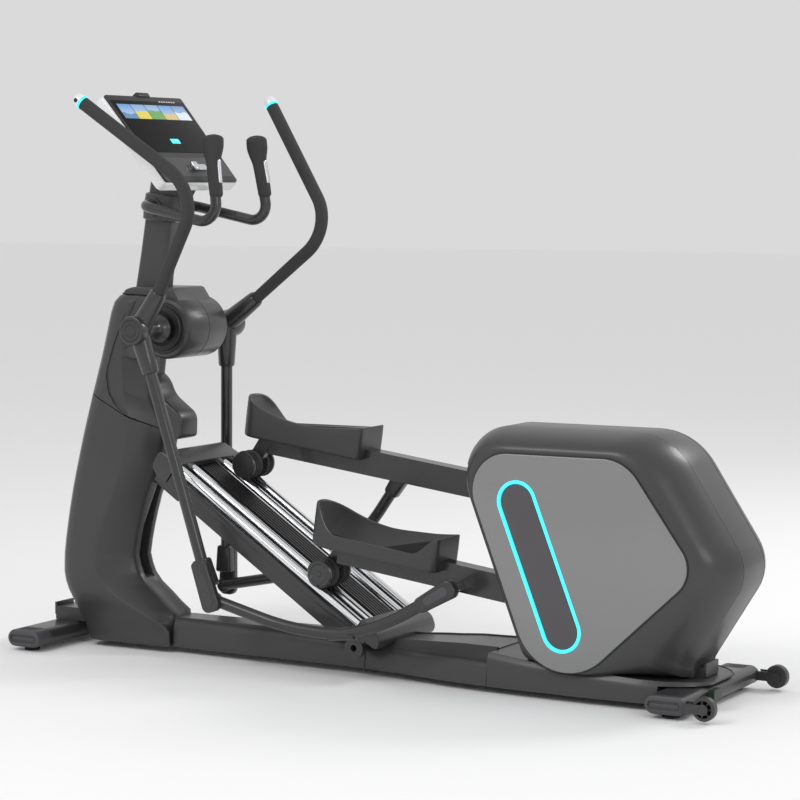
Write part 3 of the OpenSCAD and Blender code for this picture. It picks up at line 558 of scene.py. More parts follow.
def mirrored(obj: bpy.types.Object, name: str) -> bpy.types.Object:
    """A copy on the other side of the symmetry plane."""
    copy = bpy.data.objects.new(name, obj.data.copy())
    copy.data.transform(Matrix.Scale(-1, 4, (0, 1, 0)))
    bpy.context.scene.collection.objects.link(copy)
    tidy_mesh(copy)
    return copy


def join(name: str, parts: Sequence[bpy.types.Object]) -> bpy.types.Object:
    """Joins several objects into one, keeping their material slots."""
    bm, slots = bmesh.new(), []
    for part in parts:
        start = len(bm.faces)
        bm.from_mesh(part.data)
        bm.faces.ensure_lookup_table()
        own = list(part.data.materials) or [None]
        for face in bm.faces[start:]:
            material = own[min(face.material_index, len(own) - 1)]
            if material not in slots:
                slots.append(material)
            face.material_index = slots.index(material)
    mesh = bpy.data.meshes.new(name)
    bm.to_mesh(mesh)
    bm.free()
    for material in slots:
        if material is not None:
            mesh.materials.append(material)
    for part in parts:
        bpy.data.objects.remove(part)
    obj = bpy.data.objects.new(name, mesh)
    bpy.context.scene.collection.objects.link(obj)
    mesh.shade_smooth()
    mesh.set_sharp_from_angle(angle=math.radians(CREASE))
    return obj


def paint(obj: bpy.types.Object, look: Look) -> bpy.types.Object:
    """Gives an object one finish."""
    obj.data.materials.clear()
    obj.data.materials.append(look.material())
    return obj


def freeze(obj: bpy.types.Object) -> bpy.types.Object:
    """Applies an object's modifiers."""
    graph = bpy.context.evaluated_depsgraph_get()
    mesh = bpy.data.meshes.new_from_object(obj.evaluated_get(graph))
    obj.modifiers.clear()
    obj.data = mesh
    return obj


def soften(obj: bpy.types.Object, width: float) -> bpy.types.Object:
    """Rounds the sharp edges of an object by width millimetres."""
    bevel = obj.modifiers.new("bevel", "BEVEL")
    bevel.width, bevel.segments = width * MM, 3
    bevel.limit_method, bevel.angle_limit = "ANGLE", math.radians(35)
    freeze(obj)
    obj.data.shade_smooth()
    obj.data.set_sharp_from_angle(angle=math.radians(CREASE))
    return obj


def cut(obj: bpy.types.Object, tool: bpy.types.Object) -> bpy.types.Object:
    """Takes tool away from obj."""
    boolean = obj.modifiers.new("cut", "BOOLEAN")
    boolean.object, boolean.operation, boolean.solver = tool, "DIFFERENCE", "EXACT"
    freeze(obj)
    bpy.data.objects.remove(tool)
    obj.data.set_sharp_from_angle(angle=math.radians(CREASE))
    return obj


def box(name: str, low: Sequence[float], high: Sequence[float], edge: float = 2.0) -> bpy.types.Object:
    """A block between two corners, in millimetres, with rounded edges."""
    (x0, y0, z0), (x1, y1, z1) = low, high
    corners = ((x0, z0), (x1, z0), (x1, z1), (x0, z1))
    obj = loft(name, [[mm(x, y, z) for x, z in corners] for y in (y0, y1)])
    return soften(obj, edge) if edge else obj


def moved(obj: bpy.types.Object, matrix: Matrix) -> bpy.types.Object:
    """Moves an object's mesh, and turns its faces outwards again if the move mirrors it."""
    obj.data.transform(matrix)
    if matrix.determinant() < 0:
        tidy_mesh(obj)
    return obj


@dataclass
class Repeat:
    """Blocks repeated along a line or round a centre by Geometry Nodes."""

    count: int
    start: Vector
    step: Vector
    size: Vector
    shift: Vector = field(default_factory=lambda: Vector((0, 0, 0)))
    tilt: Vector = field(default_factory=lambda: Vector((0, 0, 0)))
    turn: Vector = field(default_factory=lambda: Vector((0, 0, 0)))

    def build(self, name: str, look: Look) -> bpy.types.Object:
        """Builds the tree, sets its inputs and turns the result into a plain mesh.

        Args:
            name: The object's name.
            look: The finish of the blocks.

        Returns:
            The object.
        """
        tree = bpy.data.node_groups.new(name, "GeometryNodeTree")
        wanted = {"Count": ("NodeSocketInt", self.count), "Start": ("NodeSocketVector", self.start),
                  "Step": ("NodeSocketVector", self.step), "Size": ("NodeSocketVector", self.size),
                  "Shift": ("NodeSocketVector", self.shift), "Tilt": ("NodeSocketVector", self.tilt),
                  "Turn": ("NodeSocketVector", self.turn)}
        ids = {key: tree.interface.new_socket(name=key, in_out="INPUT", socket_type=kind).identifier
               for key, (kind, _) in wanted.items()}
        tree.interface.new_socket(name="Geometry", in_out="OUTPUT", socket_type="NodeSocketGeometry")
        add, link = tree.nodes.new, tree.links.new
        given, line, cube = add("NodeGroupInput"), add("GeometryNodeMeshLine"), add("GeometryNodeMeshCube")
        shape, spread = add("GeometryNodeTransform"), add("GeometryNodeInstanceOnPoints")
        index, scale = add("GeometryNodeInputIndex"), add("ShaderNodeVectorMath")
        real, dress, out = (add(kind) for kind in ("GeometryNodeRealizeInstances", "GeometryNodeSetMaterial",
                                                   "NodeGroupOutput"))
        scale.operation = "SCALE"
        dress.inputs["Material"].default_value = look.material()
        for key, socket in (("Count", line.inputs["Count"]), ("Start", line.inputs["Start Location"]),
                            ("Step", line.inputs["Offset"]), ("Size", cube.inputs["Size"]),
                            ("Shift", shape.inputs["Translation"]), ("Tilt", shape.inputs["Rotation"]),
                            ("Turn", scale.inputs[0])):
            link(given.outputs[key], socket)
        link(index.outputs[0], scale.inputs["Scale"])
        link(cube.outputs["Mesh"], shape.inputs["Geometry"])
        link(line.outputs["Mesh"], spread.inputs["Points"])
        link(shape.outputs["Geometry"], spread.inputs["Instance"])
        link(scale.outputs[0], spread.inputs["Rotation"])
        link(spread.outputs["Instances"], real.inputs["Geometry"])
        link(real.outputs["Geometry"], dress.inputs["Geometry"])
        link(dress.outputs["Geometry"], out.inputs[0])
        obj = bpy.data.objects.new(name, bpy.data.meshes.new(name))
        bpy.context.scene.collection.objects.link(obj)
        modifier = obj.modifiers.new("repeat", "NODES")
        modifier.node_group = tree
        for key, (_, value) in wanted.items():
            modifier[ids[key]] = value if isinstance(value, int) else tuple(value)
        return freeze(obj)


def settle(obj: bpy.types.Object, body: str, slot: str, look: Look | None = None, *nodes: str) -> None:
    """Finishes a piece.

    Args:
        obj: The piece.
        body: The body that it rides on.
        slot: Its slot; not used.
        look: Its finish, or None if its parts are painted already.
        nodes: The nodes that it stands for, if any.
    """
    if look:
        paint(obj, look)
    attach(obj, body)
    if nodes:
        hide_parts(*nodes)
    LOG.info("%s rides on %s", obj.name, body)


# ---- sub-assemblies ----
@dataclass
class Base:
    """Stabilizer caps, the covers along the base beam, the plugs in its ends and the wheels."""

    # stations are X, half width, height of the shoulder and of the top; skirt is X, half width, top
    floor_edge: float = 18.0
    cap_half: float = 55.0
    seams: tuple[float, float, float] = (-640.0, 0.0, 400.0)
    stations: tuple[tuple[float, float, float, float], ...] = (
        (-640, 58, 92, 104), (-400, 70, 86, 104), (-145, 80, 80, 104), (-26, 86, 78, 104), (90, 104, 78, 108),
        (186, 124, 78, 112), (280, 142, 78, 116), (400, 156, 78, 116))
    skirt: tuple[Corner, ...] = ((401, 156, 116), (520, 164, 104), (700, 170, 92), (830, 168, 86),
                                 (890, 158, 84), (930, 143, 84), (960, 123, 83), (980, 102, 81), (992, 84, 78))

    def section(self, x: float, half: float, shoulder: float, top: float) -> list[Vector]:
        """Ring across the beam: an upright side, a long slope and a flat top."""
        return self.both_sides(x, [(half + 4, self.floor_edge, 0), (half, shoulder - 22, 10),
                                   (half - 6, shoulder, 12), (half * 0.5, top, 12)])

    @staticmethod
    def both_sides(x: float, corners: Sequence[Corner]) -> list[Vector]:
        """Ring at x from the corners of its right half."""
        right = outline(corners, 4)
        return [mm(x, p.x, p.y) for p in right] + [mm(x, -p.x, p.y) for p in reversed(right)]

    def cover(self, name: str, x0: float, x1: float) -> bpy.types.Object:
        """The cover between two seams, with a narrow gap at each."""
        def at(x: float) -> tuple[float, float, float]:
            """Half width, shoulder and top height at x."""
            for a, b in zip(self.stations, self.stations[1:]):
                if a[0] <= x <= b[0]:
                    t = (x - a[0]) / (b[0] - a[0])
                    t = (ease(t) + t) / 2
                    return tuple(p + (q - p) * t for p, q in zip(a[1:], b[1:]))
            return self.stations[-1][1:]

        steps, chamfer, inset = 24, 0.8, 3
        rings = [self.section(x0, *[v - inset for v in at(x0 + 1)])]
        rings += [self.section(x, *at(x)) for x in
                  [x0 + chamfer + (x1 - x0 - 2 * chamfer) * i / steps for i in range(steps + 1)]]
        rings.append(self.section(x1, *[v - inset for v in at(x1 - 1)]))
        return loft(name, rings, 28)

    def plinth(self) -> bpy.types.Object:
        """The skirt round the housing's foot."""
        body = loft("rear_plinth_cover", [
            self.both_sides(x, [(half + 4, self.floor_edge, 0), (half, top - 26, 10), (half - 16, top, 12)])
            for x, half, top in self.skirt], 28)
        reach = extent("stabilizers")[1][0]
        return cut(body, box("arch", (reach - 114, -250, 0), (reach + 3, 250, 63), 0))

    def cap(self, x: float, side: int) -> bpy.types.Object:
        """A moulded end cap with a long groove in its face."""
        low, high = extent("stabilizer_caps")
        end, half_w, half_h, arc = high[1], self.cap_half, 24.0, 20
        z = low[2] + half_h

        def oval(w: float, h: float, y: float) -> list[Vector]:
            """Ring of a long oval at y."""
            return [mm(x + way * (w - h) + h * math.cos(a), side * y, z + h * math.sin(a))
                    for way in (1, -1) for a in (math.pi * (i / arc - way / 2) for i in range(arc + 1))]

        rings = [oval(half_w - 0.8, half_h - 0.8, end - 62), oval(half_w, half_h, end - 61),
                 oval(half_w, half_h, end - 8), oval(half_w - 2, half_h - 2, end - 3),
                 oval(half_w - 7, half_h - 7, end), oval(half_w - 10, 11, end), oval(half_w - 12, 9, end - 5),
                 oval(half_w - 17, 4.5, end - 5), oval(half_w - 18, 4, end - 3)]
        return loft("cap", rings, 35)

    def wheel(self, name: str, side: int) -> bpy.types.Object:
        """A transport wheel with a tyre, an open web of spokes and a hub."""
        low, high = extent(f"{name}_transport_wheel")
        centre = ((low[0] + high[0]) / 2, (low[2] + high[2]) / 2)
        radius, spokes_wanted = (high[0] - low[0]) / 2, 7
        y0, y1 = sorted((abs(low[1]), abs(high[1])))
        tyre = lathe("tyre", [(radius - 8, y0), (radius - 2, y0), (radius, y0 + 3), (radius, y1 - 3),
                              (radius - 2, y1), (radius - 8, y1), (radius - 8, y0)], centre, side)
        hub = lathe("hub", [(4.2, y0), (9, y0), (10, y0 + 2), (10, y1 - 2), (9, y1), (4.2, y1), (4.2, y0)],
                    centre, side)
        spokes = Repeat(spokes_wanted, mm(centre[0], side * (y0 + y1) / 2, centre[1]), Vector((0, 0, 0)),
                        mm(radius - 16, y1 - y0 - 6, 4), mm(radius / 2 + 1, 0, 0),
                        turn=Vector((0, 2 * math.pi / spokes_wanted, 0))).build("spokes", Look.PEDAL)
        return join(f"{name}_wheel", [paint(tyre, Look.PEDAL), paint(hub, Look.PEDAL), spokes])

    def build(self) -> None:
        """Builds and settles the pieces of the base."""
        front, joint, flare = self.seams
        for name, x0, x1, node in (("base_cover_front", front + 0.5, joint - 0.5, "beam_cover"),
                                   ("base_cover_rear", joint + 0.5, flare, "beam_flare_cover")):
            settle(self.cover(name, x0, x1), "frame", "cover_charcoal", Look.CHARCOAL, node)
        settle(self.plinth(), "frame", "cover_charcoal", Look.CHARCOAL, "rear_plinth")
        low, high = extent("stabilizer_caps")
        ends = (low[0] + self.cap_half, high[0] - self.cap_half)
        caps = [self.cap(x, side) for x in ends for side in SIDES.values()]
        settle(join("foot_caps", caps), "frame", "cap_plastic", Look.CAP, "stabilizer_caps")
        low, high = extent("base_frame")
        top, half = high[2], 41.0
        plugs = [box("plug", (x - 4, -half, top - 37), (x + 4, half, top - 1), 1.5)
                 for x in (low[0], high[0])]
        settle(join("beam_plugs", plugs), "frame", "trim_black", Look.PEDAL)
        for name, side in SIDES.items():
            settle(self.wheel(name, side), f"{name}_transport_wheel", "wheel_black", None,
                   f"{name}_transport_wheel")


@dataclass
class Tower:
    """The shrouds of the console tower, its mast and its collar."""

    # front and rear height of a tilted section, then its front, side crease and rear edge, then half width
    sections: tuple[tuple[float, ...], ...] = (
        (18, 18, -928, -646, -642, 78), (60, 60, -944, -646, -642, 80), (92, 84, -957, -668, -642, 88),
        (112, 108, -963, -716, -646, 98), (135, 130, -972, -758, -676, 106), (160, 156, -984, -800, -706, 111),
        (185, 182, -992, -832, -740, 114), (212, 208, -996, -852, -762, 116), (238, 234, -995, -863, -773, 117),
        (266, 262, -993, -866, -780, 118), (305, 300, -988, -858, -774, 118), (350, 342, -981, -844, -765, 118),
        (400, 388, -972, -826, -753, 118), (450, 432, -962, -806, -740, 118), (500, 474, -951, -790, -722, 117),
        (550, 510, -939, -778, -706, 116), (600, 544, -927, -768, -696, 115), (650, 576, -914, -760, -690, 114),
        (700, 606, -900, -754, -684, 113), (731, 625, -892, -750, -680, 112))
    head_sections: tuple[tuple[float, ...], ...] = (
        (734, 628, -891, -760, -682, 112), (760, 668, -883, -768, -700, 112), (790, 712, -874, -775, -724, 112),
        (830, 780, -862, -778, -728, 111), (862, 826, -853, -778, -722, 111), (905, 890, -842, -776, -700, 110),
        (955, 948, -830, -756, -690, 108), (985, 984, -820, -735, -686, 104),
        (1003, 1003, -806, -715, -682, 94))
    hub: Point = HUB
    slot_z: tuple[float, float] = (205.0, 480.0)
    slot_depth: float = 24.0

    def section(self, row: Sequence[float]) -> list[Vector]:
        """One tilted ring of the lower tower."""
        z_front, z_rear, front, crease, rear, half = row
        open_slot = self.slot_z[0] < z_rear < self.slot_z[1]
        depth = self.slot_depth if open_slot else 0.4
        nose = [(front, 0), (front + 0.5, half * 0.42), (front + 3, half * 0.66), (front + 10, half * 0.84),
                (front + 24, half * 0.95), (front + 46, half * 0.995)]
        side = [(crease - 16, half), (crease - 6, half - 0.5), (crease + 3, half - 5)]
        back = [(rear - 8, 50), (rear - 2, 42), (rear, 34), (rear, 21), (rear - depth, 20), (rear - depth, 0)]
        right = nose + side + back
        ring = right + [(x, -y) for x, y in reversed(right[1:-1])]
        span = rear - front
        return [mm(x, y, z_front + (z_rear - z_front) * (x - front) / span) for x, y in ring]

    def lower(self) -> bpy.types.Object:
        """The lower shroud with the slot that the lift fork runs in."""
        return loft("tower_lower_shroud", [self.section(row) for row in denser(self.sections)], 30)

    def head(self) -> bpy.types.Object:
        """The head shroud: a nose that wraps the front, a drum round the hub and a beak."""
        nose = loft("nose", [self.section(row) for row in denser(self.head_sections)], 30)
        inner = outline([(-690, 992, 4), (-732, 984, 10), (-760, 960, 16), (-802, 861, 30), (-826, 789, 16),
                         (-820, 732, 12), (-795, 694, 8), (-752, 660, 4), (-600, 560, 4), (-600, 992, 4)], 6)
        for y0, y1 in ((106, 140), (-140, -106)):
            cut(nose, slab("pocket", inner, y0, y1, 1))
        x, z = self.hub
        drum = lathe("drum", [(0.4, -101), (72, -101), (80, -98), (86, -88), (86, -2), (84.5, -1), (84.5, 1),
                              (86, 2), (86, 88), (80, 98), (72, 101), (0.4, 101)], (x, z), 1, 96)
        saddle = slab("saddle", outline([(-795, 840, 4), (-780, 1001, 10), (x, z + 86.5, 4),
                                         (x + 40, z + 60, 20), (x, z, 20), (x - 40, z - 75, 30),
                                         (-738, 822, 24)]), -98, 98, 6)
        beak = slab("beak", outline([(-760, 790, 10), (-712, 780, 40), (-692, 722, 24), (-618, 668, 20),
                                     (-620, 604, 12), (-672, 594, 6), (-760, 660, 12)]), -44, 44, 8)
        return join("tower_head_cover", [nose, drum, saddle, beak])

    def column(self) -> list[bpy.types.Object]:
        """The mast and the collar that clamps the handlebar."""
        lean = -0.1

        def rings(stops: Sequence[tuple[float, float, float, float]], edge: float) -> list[list[Vector]]:
            """Rounded rectangles at heights z from x0 to x1, half wide, that fall to the rear by lean."""
            return [[mm(p.x, p.y, z + (p.x - (x0 + x1) / 2) * lean) for p in
                     outline([(x0, -half, edge), (x1, -half, edge), (x1, half, edge), (x0, half, edge)], 6)]
                    for z, x0, x1, half in stops]

        mast = loft("mast_cover", rings([(1018, -783, -688, 32), (1060, -775, -684, 32),
                                         (1120, -763, -674, 33), (1205, -748, -660, 35),
                                         (1290, -730, -618, 38), (1326, -722, -598, 40)], 15), 30)
        collar = loft("collar", rings([(1210, -744, -648, 48), (1214, -750, -642, 53),
                                       (1250, -746, -634, 55), (1282, -740, -628, 53),
                                       (1286, -735, -633, 48)], 30), 30)
        return [mast, collar]

    def hub_barrel(self, side: int) -> bpy.types.Object:
        """The ring and flange round the hub, inside the head's pocket."""
        low, high = extent("hub_trim_rings")
        centre = ((low[0] + high[0]) / 2, (low[2] + high[2]) / 2)
        return lathe("barrel", [(10, 80), (70, 80), (72, 84), (72, 100), (69, 104), (63, 105), (62, 112),
                                (60, 114), (48, 114), (46, 111), (44, 111), (42, 108), (10, 108)], centre, side)

    def build(self) -> None:
        """Builds and settles the pieces of the tower."""
        (x0, _, z0), (x1, _, z1) = extent("tower_cap_plate")
        plate = outline([(x0, z0 + 1, 0), (x0 + 8, z1 - 8, 6), (x0 + 34, z1, 10), (x1 - 66, z1, 8),
                         (x1 - 40, z0 - 14, 8), (x1 - 34, z0 - 40, 4), (self.hub[0] - 30, z0 - 40, 4),
                         (self.hub[0] - 60, z0 - 3, 4)])
        settle(self.lower(), "frame", "cover_charcoal", Look.CHARCOAL, "tower_shroud")
        settle(self.head(), "frame", "cover_charcoal", Look.CHARCOAL, "tower_head_shroud")
        barrels = [self.hub_barrel(side) for side in SIDES.values()]
        settle(join("hub_barrels", barrels), "frame", "trim_black", Look.BLACK, "hub_trim_rings")
        mast, collar = self.column()
        settle(mast, "frame", "cover_charcoal", Look.CHARCOAL, "mast")
        settle(collar, "frame", "cover_charcoal", Look.CHARCOAL, "handlebar_collar")
        settle(slab("tower_cap", plate, -84, 84, 6), "frame", "cover_charcoal", Look.CHARCOAL,
               "tower_cap_plate")
        lug = lathe("neck", [(0.4, 50), (26, 50), (26, 58), (24, 61), (0.4, 62)], (-699, 1250))
        settle(join("collar_boss", [lug, mirrored(lug, "neck_right")]), "frame", "cover_charcoal",
               Look.CHARCOAL)


@dataclass
class Housing:
    """The drive housing: centre band, bulged sides, panels, inserts and light rings."""

    band_half: float = 70.0
    side_y: float = 181.0
    panel_y: float = 188.0
    start: Point = (830, 690)
    spine: tuple[Corner, ...] = ((268, 688, 150), (878, 688, 95), (1094, 352, 72), (940, 105, 15), (936, 74, 0),
                                 (506, 74, 0))
    panel: tuple[Corner, ...] = ((321, 634, 150), (800, 634, 62), (1000, 354, 72), (580, -35, 218))
    strip: tuple[Point, Point] = ((500, 507), (627, 184))
    strip_r: float = 56.0
    ring_w: float = 9.5

    def loop(self, corners: Sequence[Corner]) -> list[Vector]:
        """An outline with even points, started at its upper rear, so that two loops can be joined."""
        return resample(outline(corners, 14), 160, Vector(self.start))

    def panel_loop(self) -> list[Vector]:
        """The side panel's outline with even points."""
        return resample(outline(self.panel, 16), 220, Vector(self.start))

    @staticmethod
    def foot_cut(obj: bpy.types.Object) -> bpy.types.Object:
        """Takes away what lies under the plinth's top on the left side."""
        return cut(obj, box("foot", (200, -260, -200), (1200, -20, 79), 0))

    def band(self) -> bpy.types.Object:
        """The narrow band over the middle."""
        return slab("housing_band", outline(self.spine, 12), -self.band_half + 0.5, self.band_half - 0.5, 3)

    def shell(self) -> bpy.types.Object:
        """The left bulged side, with the channel for the pedal arm."""
        outer, inner = self.loop(self.spine), self.loop(self.panel)
        rings, steps, straight = [], 14, 0.35
        for t in (i / steps for i in range(steps + 1)):
            y = self.band_half + (self.side_y - self.band_half) * math.sin(t * math.pi / 2)
            share = straight * t + (1 - straight) * (1 - math.cos(t * math.pi / 2))
            rings.append([mm(p.x, -y, p.y) for p in [a.lerp(b, share) for a, b in zip(outer, inner)]])
        rings.append([mm(p.x, -self.side_y, p.y) for p in shrink(inner, 6)])
        body = self.foot_cut(loft("shell", rings, 40))
        for end, top in ((620, 592), (900, 330)):
            cut(body, box("channel", (180, -160, 176), (end, -82, top), 0))
        return cut(body, lathe("pin_room", [(0.4, 82), (47, 82), (47, 152), (0.4, 152)],
                               pedal_pins()["left"], -1))

    def oval(self, radius: float, steps: int = 32) -> list[Vector]:
        """Long oval round the strip's two ends."""
        a, b = (Vector(p) for p in self.strip)
        tilt = math.atan2((b - a).y, (b - a).x)
        loop = []
        for centre, start in ((a, math.pi / 2), (b, -math.pi / 2)):
            loop += [centre + radius * Vector((math.cos(tilt + start + math.pi * i / steps),
                                               math.sin(tilt + start + math.pi * i / steps)))
                     for i in range(steps + 1)]
        return loop

    def plate(self) -> bpy.types.Object:
        """The silver side panel, with room for the strip."""
        body = slab("plate", shrink(self.panel_loop(), 5), -self.panel_y, -self.side_y + 4, 2.5)
        cut(body, slab("room", self.oval(self.strip_r), -260, -150, 0.2))
        return self.foot_cut(body)

    def ring(self) -> bpy.types.Object:
        """The lit ring round the strip, a closed loft with a round section."""
        outer, inner = self.strip_r - 0.5, self.strip_r - self.ring_w
        section = ((outer, 182), (outer, self.panel_y), (outer - 1.5, 190), (inner + 1.5, 190),
                   (inner, self.panel_y), (inner, 182))
        rings = [[mm(p.x, -y, p.y) for p in self.oval(radius)] for radius, y in section]
        return loft("ring", [*rings, rings[0]], 50, cap=False)

    def build(self) -> None:
        """Builds and settles the pieces of the housing."""
        settle(self.band(), "frame", "cover_charcoal", Look.CHARCOAL, "housing_spine")
        insert = slab("strip", self.oval(self.strip_r - self.ring_w - 1), -187, -178, 3)
        pieces = (("housing_shells", self.shell(), Look.CHARCOAL, "cover_charcoal", "housing_side_shells"),
                  ("silver_panels", self.plate(), Look.PANEL, "panel_silver", "side_panels"),
                  ("light_rings", self.ring(), Look.CYAN, "led_cyan", "led_rings"),
                  ("violet_inserts", insert, Look.INSERT, "insert_violet", "strip_inserts"))
        for name, obj, look, slot, node in pieces:
            settle(join(name, [obj, mirrored(obj, name + "_right")]), "frame", slot, look, node)
        # painted shade: a black sheet just behind each panel's edge stands for the shade in the gap between
        # panel and shell, not for black trim
        shadow = self.foot_cut(slab("gap", shrink(self.panel_loop(), 1.5), -183.5, -170, 1))
        settle(join("painted_shadow_gaps", [shadow, mirrored(shadow, "painted_shadow_gap_right")]), "frame", "trim_black", Look.BLACK)


@dataclass
class Handlebar:
    """The fixed handlebar with its horn-shaped grips."""

    bar_r: float = 15.0
    grip_r: float = 18.5
    bend: tuple[tuple[float, float, float, float], ...] = (
        (-700, 0, 1258, 0), (-694, 122, 1254, 40), (-437, 131, 1201, 62), (-449, 124, 1296, 0))
    horn: tuple[tuple[float, float, float, float], ...] = (
        (-445, 124, 1286, 0), (-453, 121, 1340, 30), (-462, 114, 1398, 24), (-463, 110, 1434, 0))

    def build(self) -> None:
        """Builds and settles the handlebar and its grips."""
        bar = sweep("bar", route(self.bend), self.bar_r, 28, (0.2, 0.3, 1))
        settle(join("handlebar_tubes", [bar, mirrored(bar, "bar_right")]), "frame", "arm_paint", Look.ARM,
               "fixed_handlebar")

        def girth(share: float) -> tuple[float, float]:
            """Half widths of a grip along its length."""
            flare = ease((share - 0.52) / 0.38)
            return (self.grip_r + 1.5 * math.sin(math.pi * share) + 13 * flare, self.grip_r + 1.5 * flare)

        grip = sweep("grip", route(self.horn), girth, 32, round_ends=14)
        strip = sweep("strip", [p + Vector((17.5, 0, 3)) for p in route(self.horn)[2:15]],
                      (lambda share: (4, 8)), 16, round_ends=3)
        settle(join("horn_grips", [grip, mirrored(grip, "grip_right")]), "frame", "grip_foam", Look.FOAM,
               "fixed_grips")
        settle(join("pulse_strips", [strip, mirrored(strip, "strip_right")]), "frame", "lever_silver",
               Look.SILVER)


@dataclass
class Console:
    """The tilted console with its screen."""

    foot: tuple[float, float] = (-569.0, 1321.0)
    tilt: float = 50.0
    length: float = 310.0
    width: float = 360.0
    flare: float = 8.0
    glass: tuple[float, float] = (12.0, 214.0)
    tiles: tuple[Look, ...] = (Look.TILE_A, Look.TILE_B, Look.TILE_C, Look.TILE_D, Look.TILE_E)

    def place(self) -> Matrix:
        """The console's own frame: local X down the face, Z out of it."""
        return (Matrix.Translation(mm(self.foot[0], 0, self.foot[1]))
                @ Matrix.Rotation(math.radians(self.tilt), 4, "Y"))

    def plate(self, name: str, grow: float, z0: float, z1: float, edge: float, corner: float = 24.0,
              ends: tuple[float, float] | None = None) -> bpy.types.Object:
        """A plate of the console's outline.

        Args:
            name: The object's name.
            grow: How far it stands out past the outline.
            z0: Lower side over the face.
            z1: Upper side over the face.
            edge: Radius of its edges.
            corner: Start of the corners' rounding.
            ends: Distance of its upper and lower end from the console's top, if it is shorter.

        Returns:
            The plate in the console's place.
        """
        top, low = ends or (0.0, self.length)

        def half(down: float) -> float:
            """Half width at a distance from the top."""
            return self.width / 2 + self.flare * (1 - down / self.length) + grow

        x0, x1 = -self.length + top - grow, -self.length + low + grow
        loop = outline([(x0, -half(top), corner), (x1, -half(low), corner), (x1, half(low), corner),
                        (x0, half(top), corner)])
        obj = slab(name, loop, z0, z1, edge)
        swap = Matrix(((1, 0, 0, 0), (0, 0, 1, 0), (0, 1, 0, 0), (0, 0, 0, 1)))
        return moved(obj, self.place() @ swap)

    def block(self, name: str, low: Sequence[float], high: Sequence[float], edge: float) -> bpy.types.Object:
        """A rounded block in the console's frame."""
        return moved(box(name, low, high, edge), self.place())

    def tile(self, index: int, look: Look) -> bpy.types.Object:
        """One lit tile, a thin plate with its own UV map."""
        pitch, rise, gap, z, thick = 66.0, 52.0, 3.0, 1.4, 0.8
        x0 = 34 - self.length
        y0 = (index - len(self.tiles) / 2) * pitch + gap / 2
        x1, y1 = x0 + rise, y0 + pitch - gap
        verts = [mm(*v) for v in ((x1, y0, z), (x1, y1, z), (x0, y1, z), (x0, y0, z))]
        verts += [v - mm(0, 0, thick) for v in verts]
        faces = [(0, 1, 2, 3), (7, 6, 5, 4), (0, 4, 5, 1), (1, 5, 6, 2), (2, 6, 7, 3), (3, 7, 4, 0)]
        obj = mesh_object(f"tile_{index + 1}", verts, faces)
        layer = obj.data.uv_layers.new(name="UVMap")
        for loop in obj.data.loops:
            at = obj.data.vertices[loop.vertex_index].co / MM
            layer.data[loop.index].uv = ((at.y - y0) / (y1 - y0), (x1 - at.x) / (x1 - x0))
        return moved(paint(obj, look), self.place())

    def build(self) -> None:
        """Builds and settles the pieces of the console."""
        settle(self.plate("console_back", 5, -40, -5, 9, 16), "frame", "console_white", Look.WHITE,
               "console_shell")
        face = paint(self.plate("face", 0, -12, 0, 2.5, 9), Look.BLACK)
        lower = paint(self.plate("lower", -9, -3, 0.9, 0.8, 5, (217.0, 303.0)), Look.CHARCOAL)
        settle(join("console_face", [face, lower]), "frame", "trim_black", None, "console_bezel")
        settle(self.plate("screen_glass", -7, -2, 0.8, 0.6, 5, self.glass), "frame", "screen_black", Look.GLASS,
               "screen_panel")
        tiles = [self.tile(i, look) for i, look in enumerate(self.tiles)]
        settle(join("screen_tiles", tiles), "frame", "screen_black")
        dots = Repeat(7, mm(20 - self.length, 60, 1), mm(0, 12, 0), mm(4, 6, 0.8)).build("dots", Look.WHITE)
        settle(moved(dots, self.place()), "frame", "console_white", Look.WHITE)
        button = self.block("screen_button", (-152, -20, 0.5), (-136, 20, 1.5), 0.3)
        settle(button, "frame", "led_cyan", Look.CYAN)
        tab = self.block("top_tab", (-self.length - 12, -30, -22), (-self.length + 4, 30, 4), 4)
        settle(tab, "frame", "trim_black", Look.BLACK)
        step = self.block("lever_step", (-56, -14, 0.5), (-36, 54, 9), 2.5)
        grip = self.block("lever_grip", (-60, -18, 6), (-32, 6, 16), 3.5)
        settle(join("lever", [step, grip]), "console_lever", "lever_silver", Look.SILVER, "console_lever")
        cradle = self.block("cradle", (-150, -60, -78), (-40, 60, -40), 12)
        settle(cradle, "frame", "cover_charcoal", Look.CHARCOAL, "console_bracket")


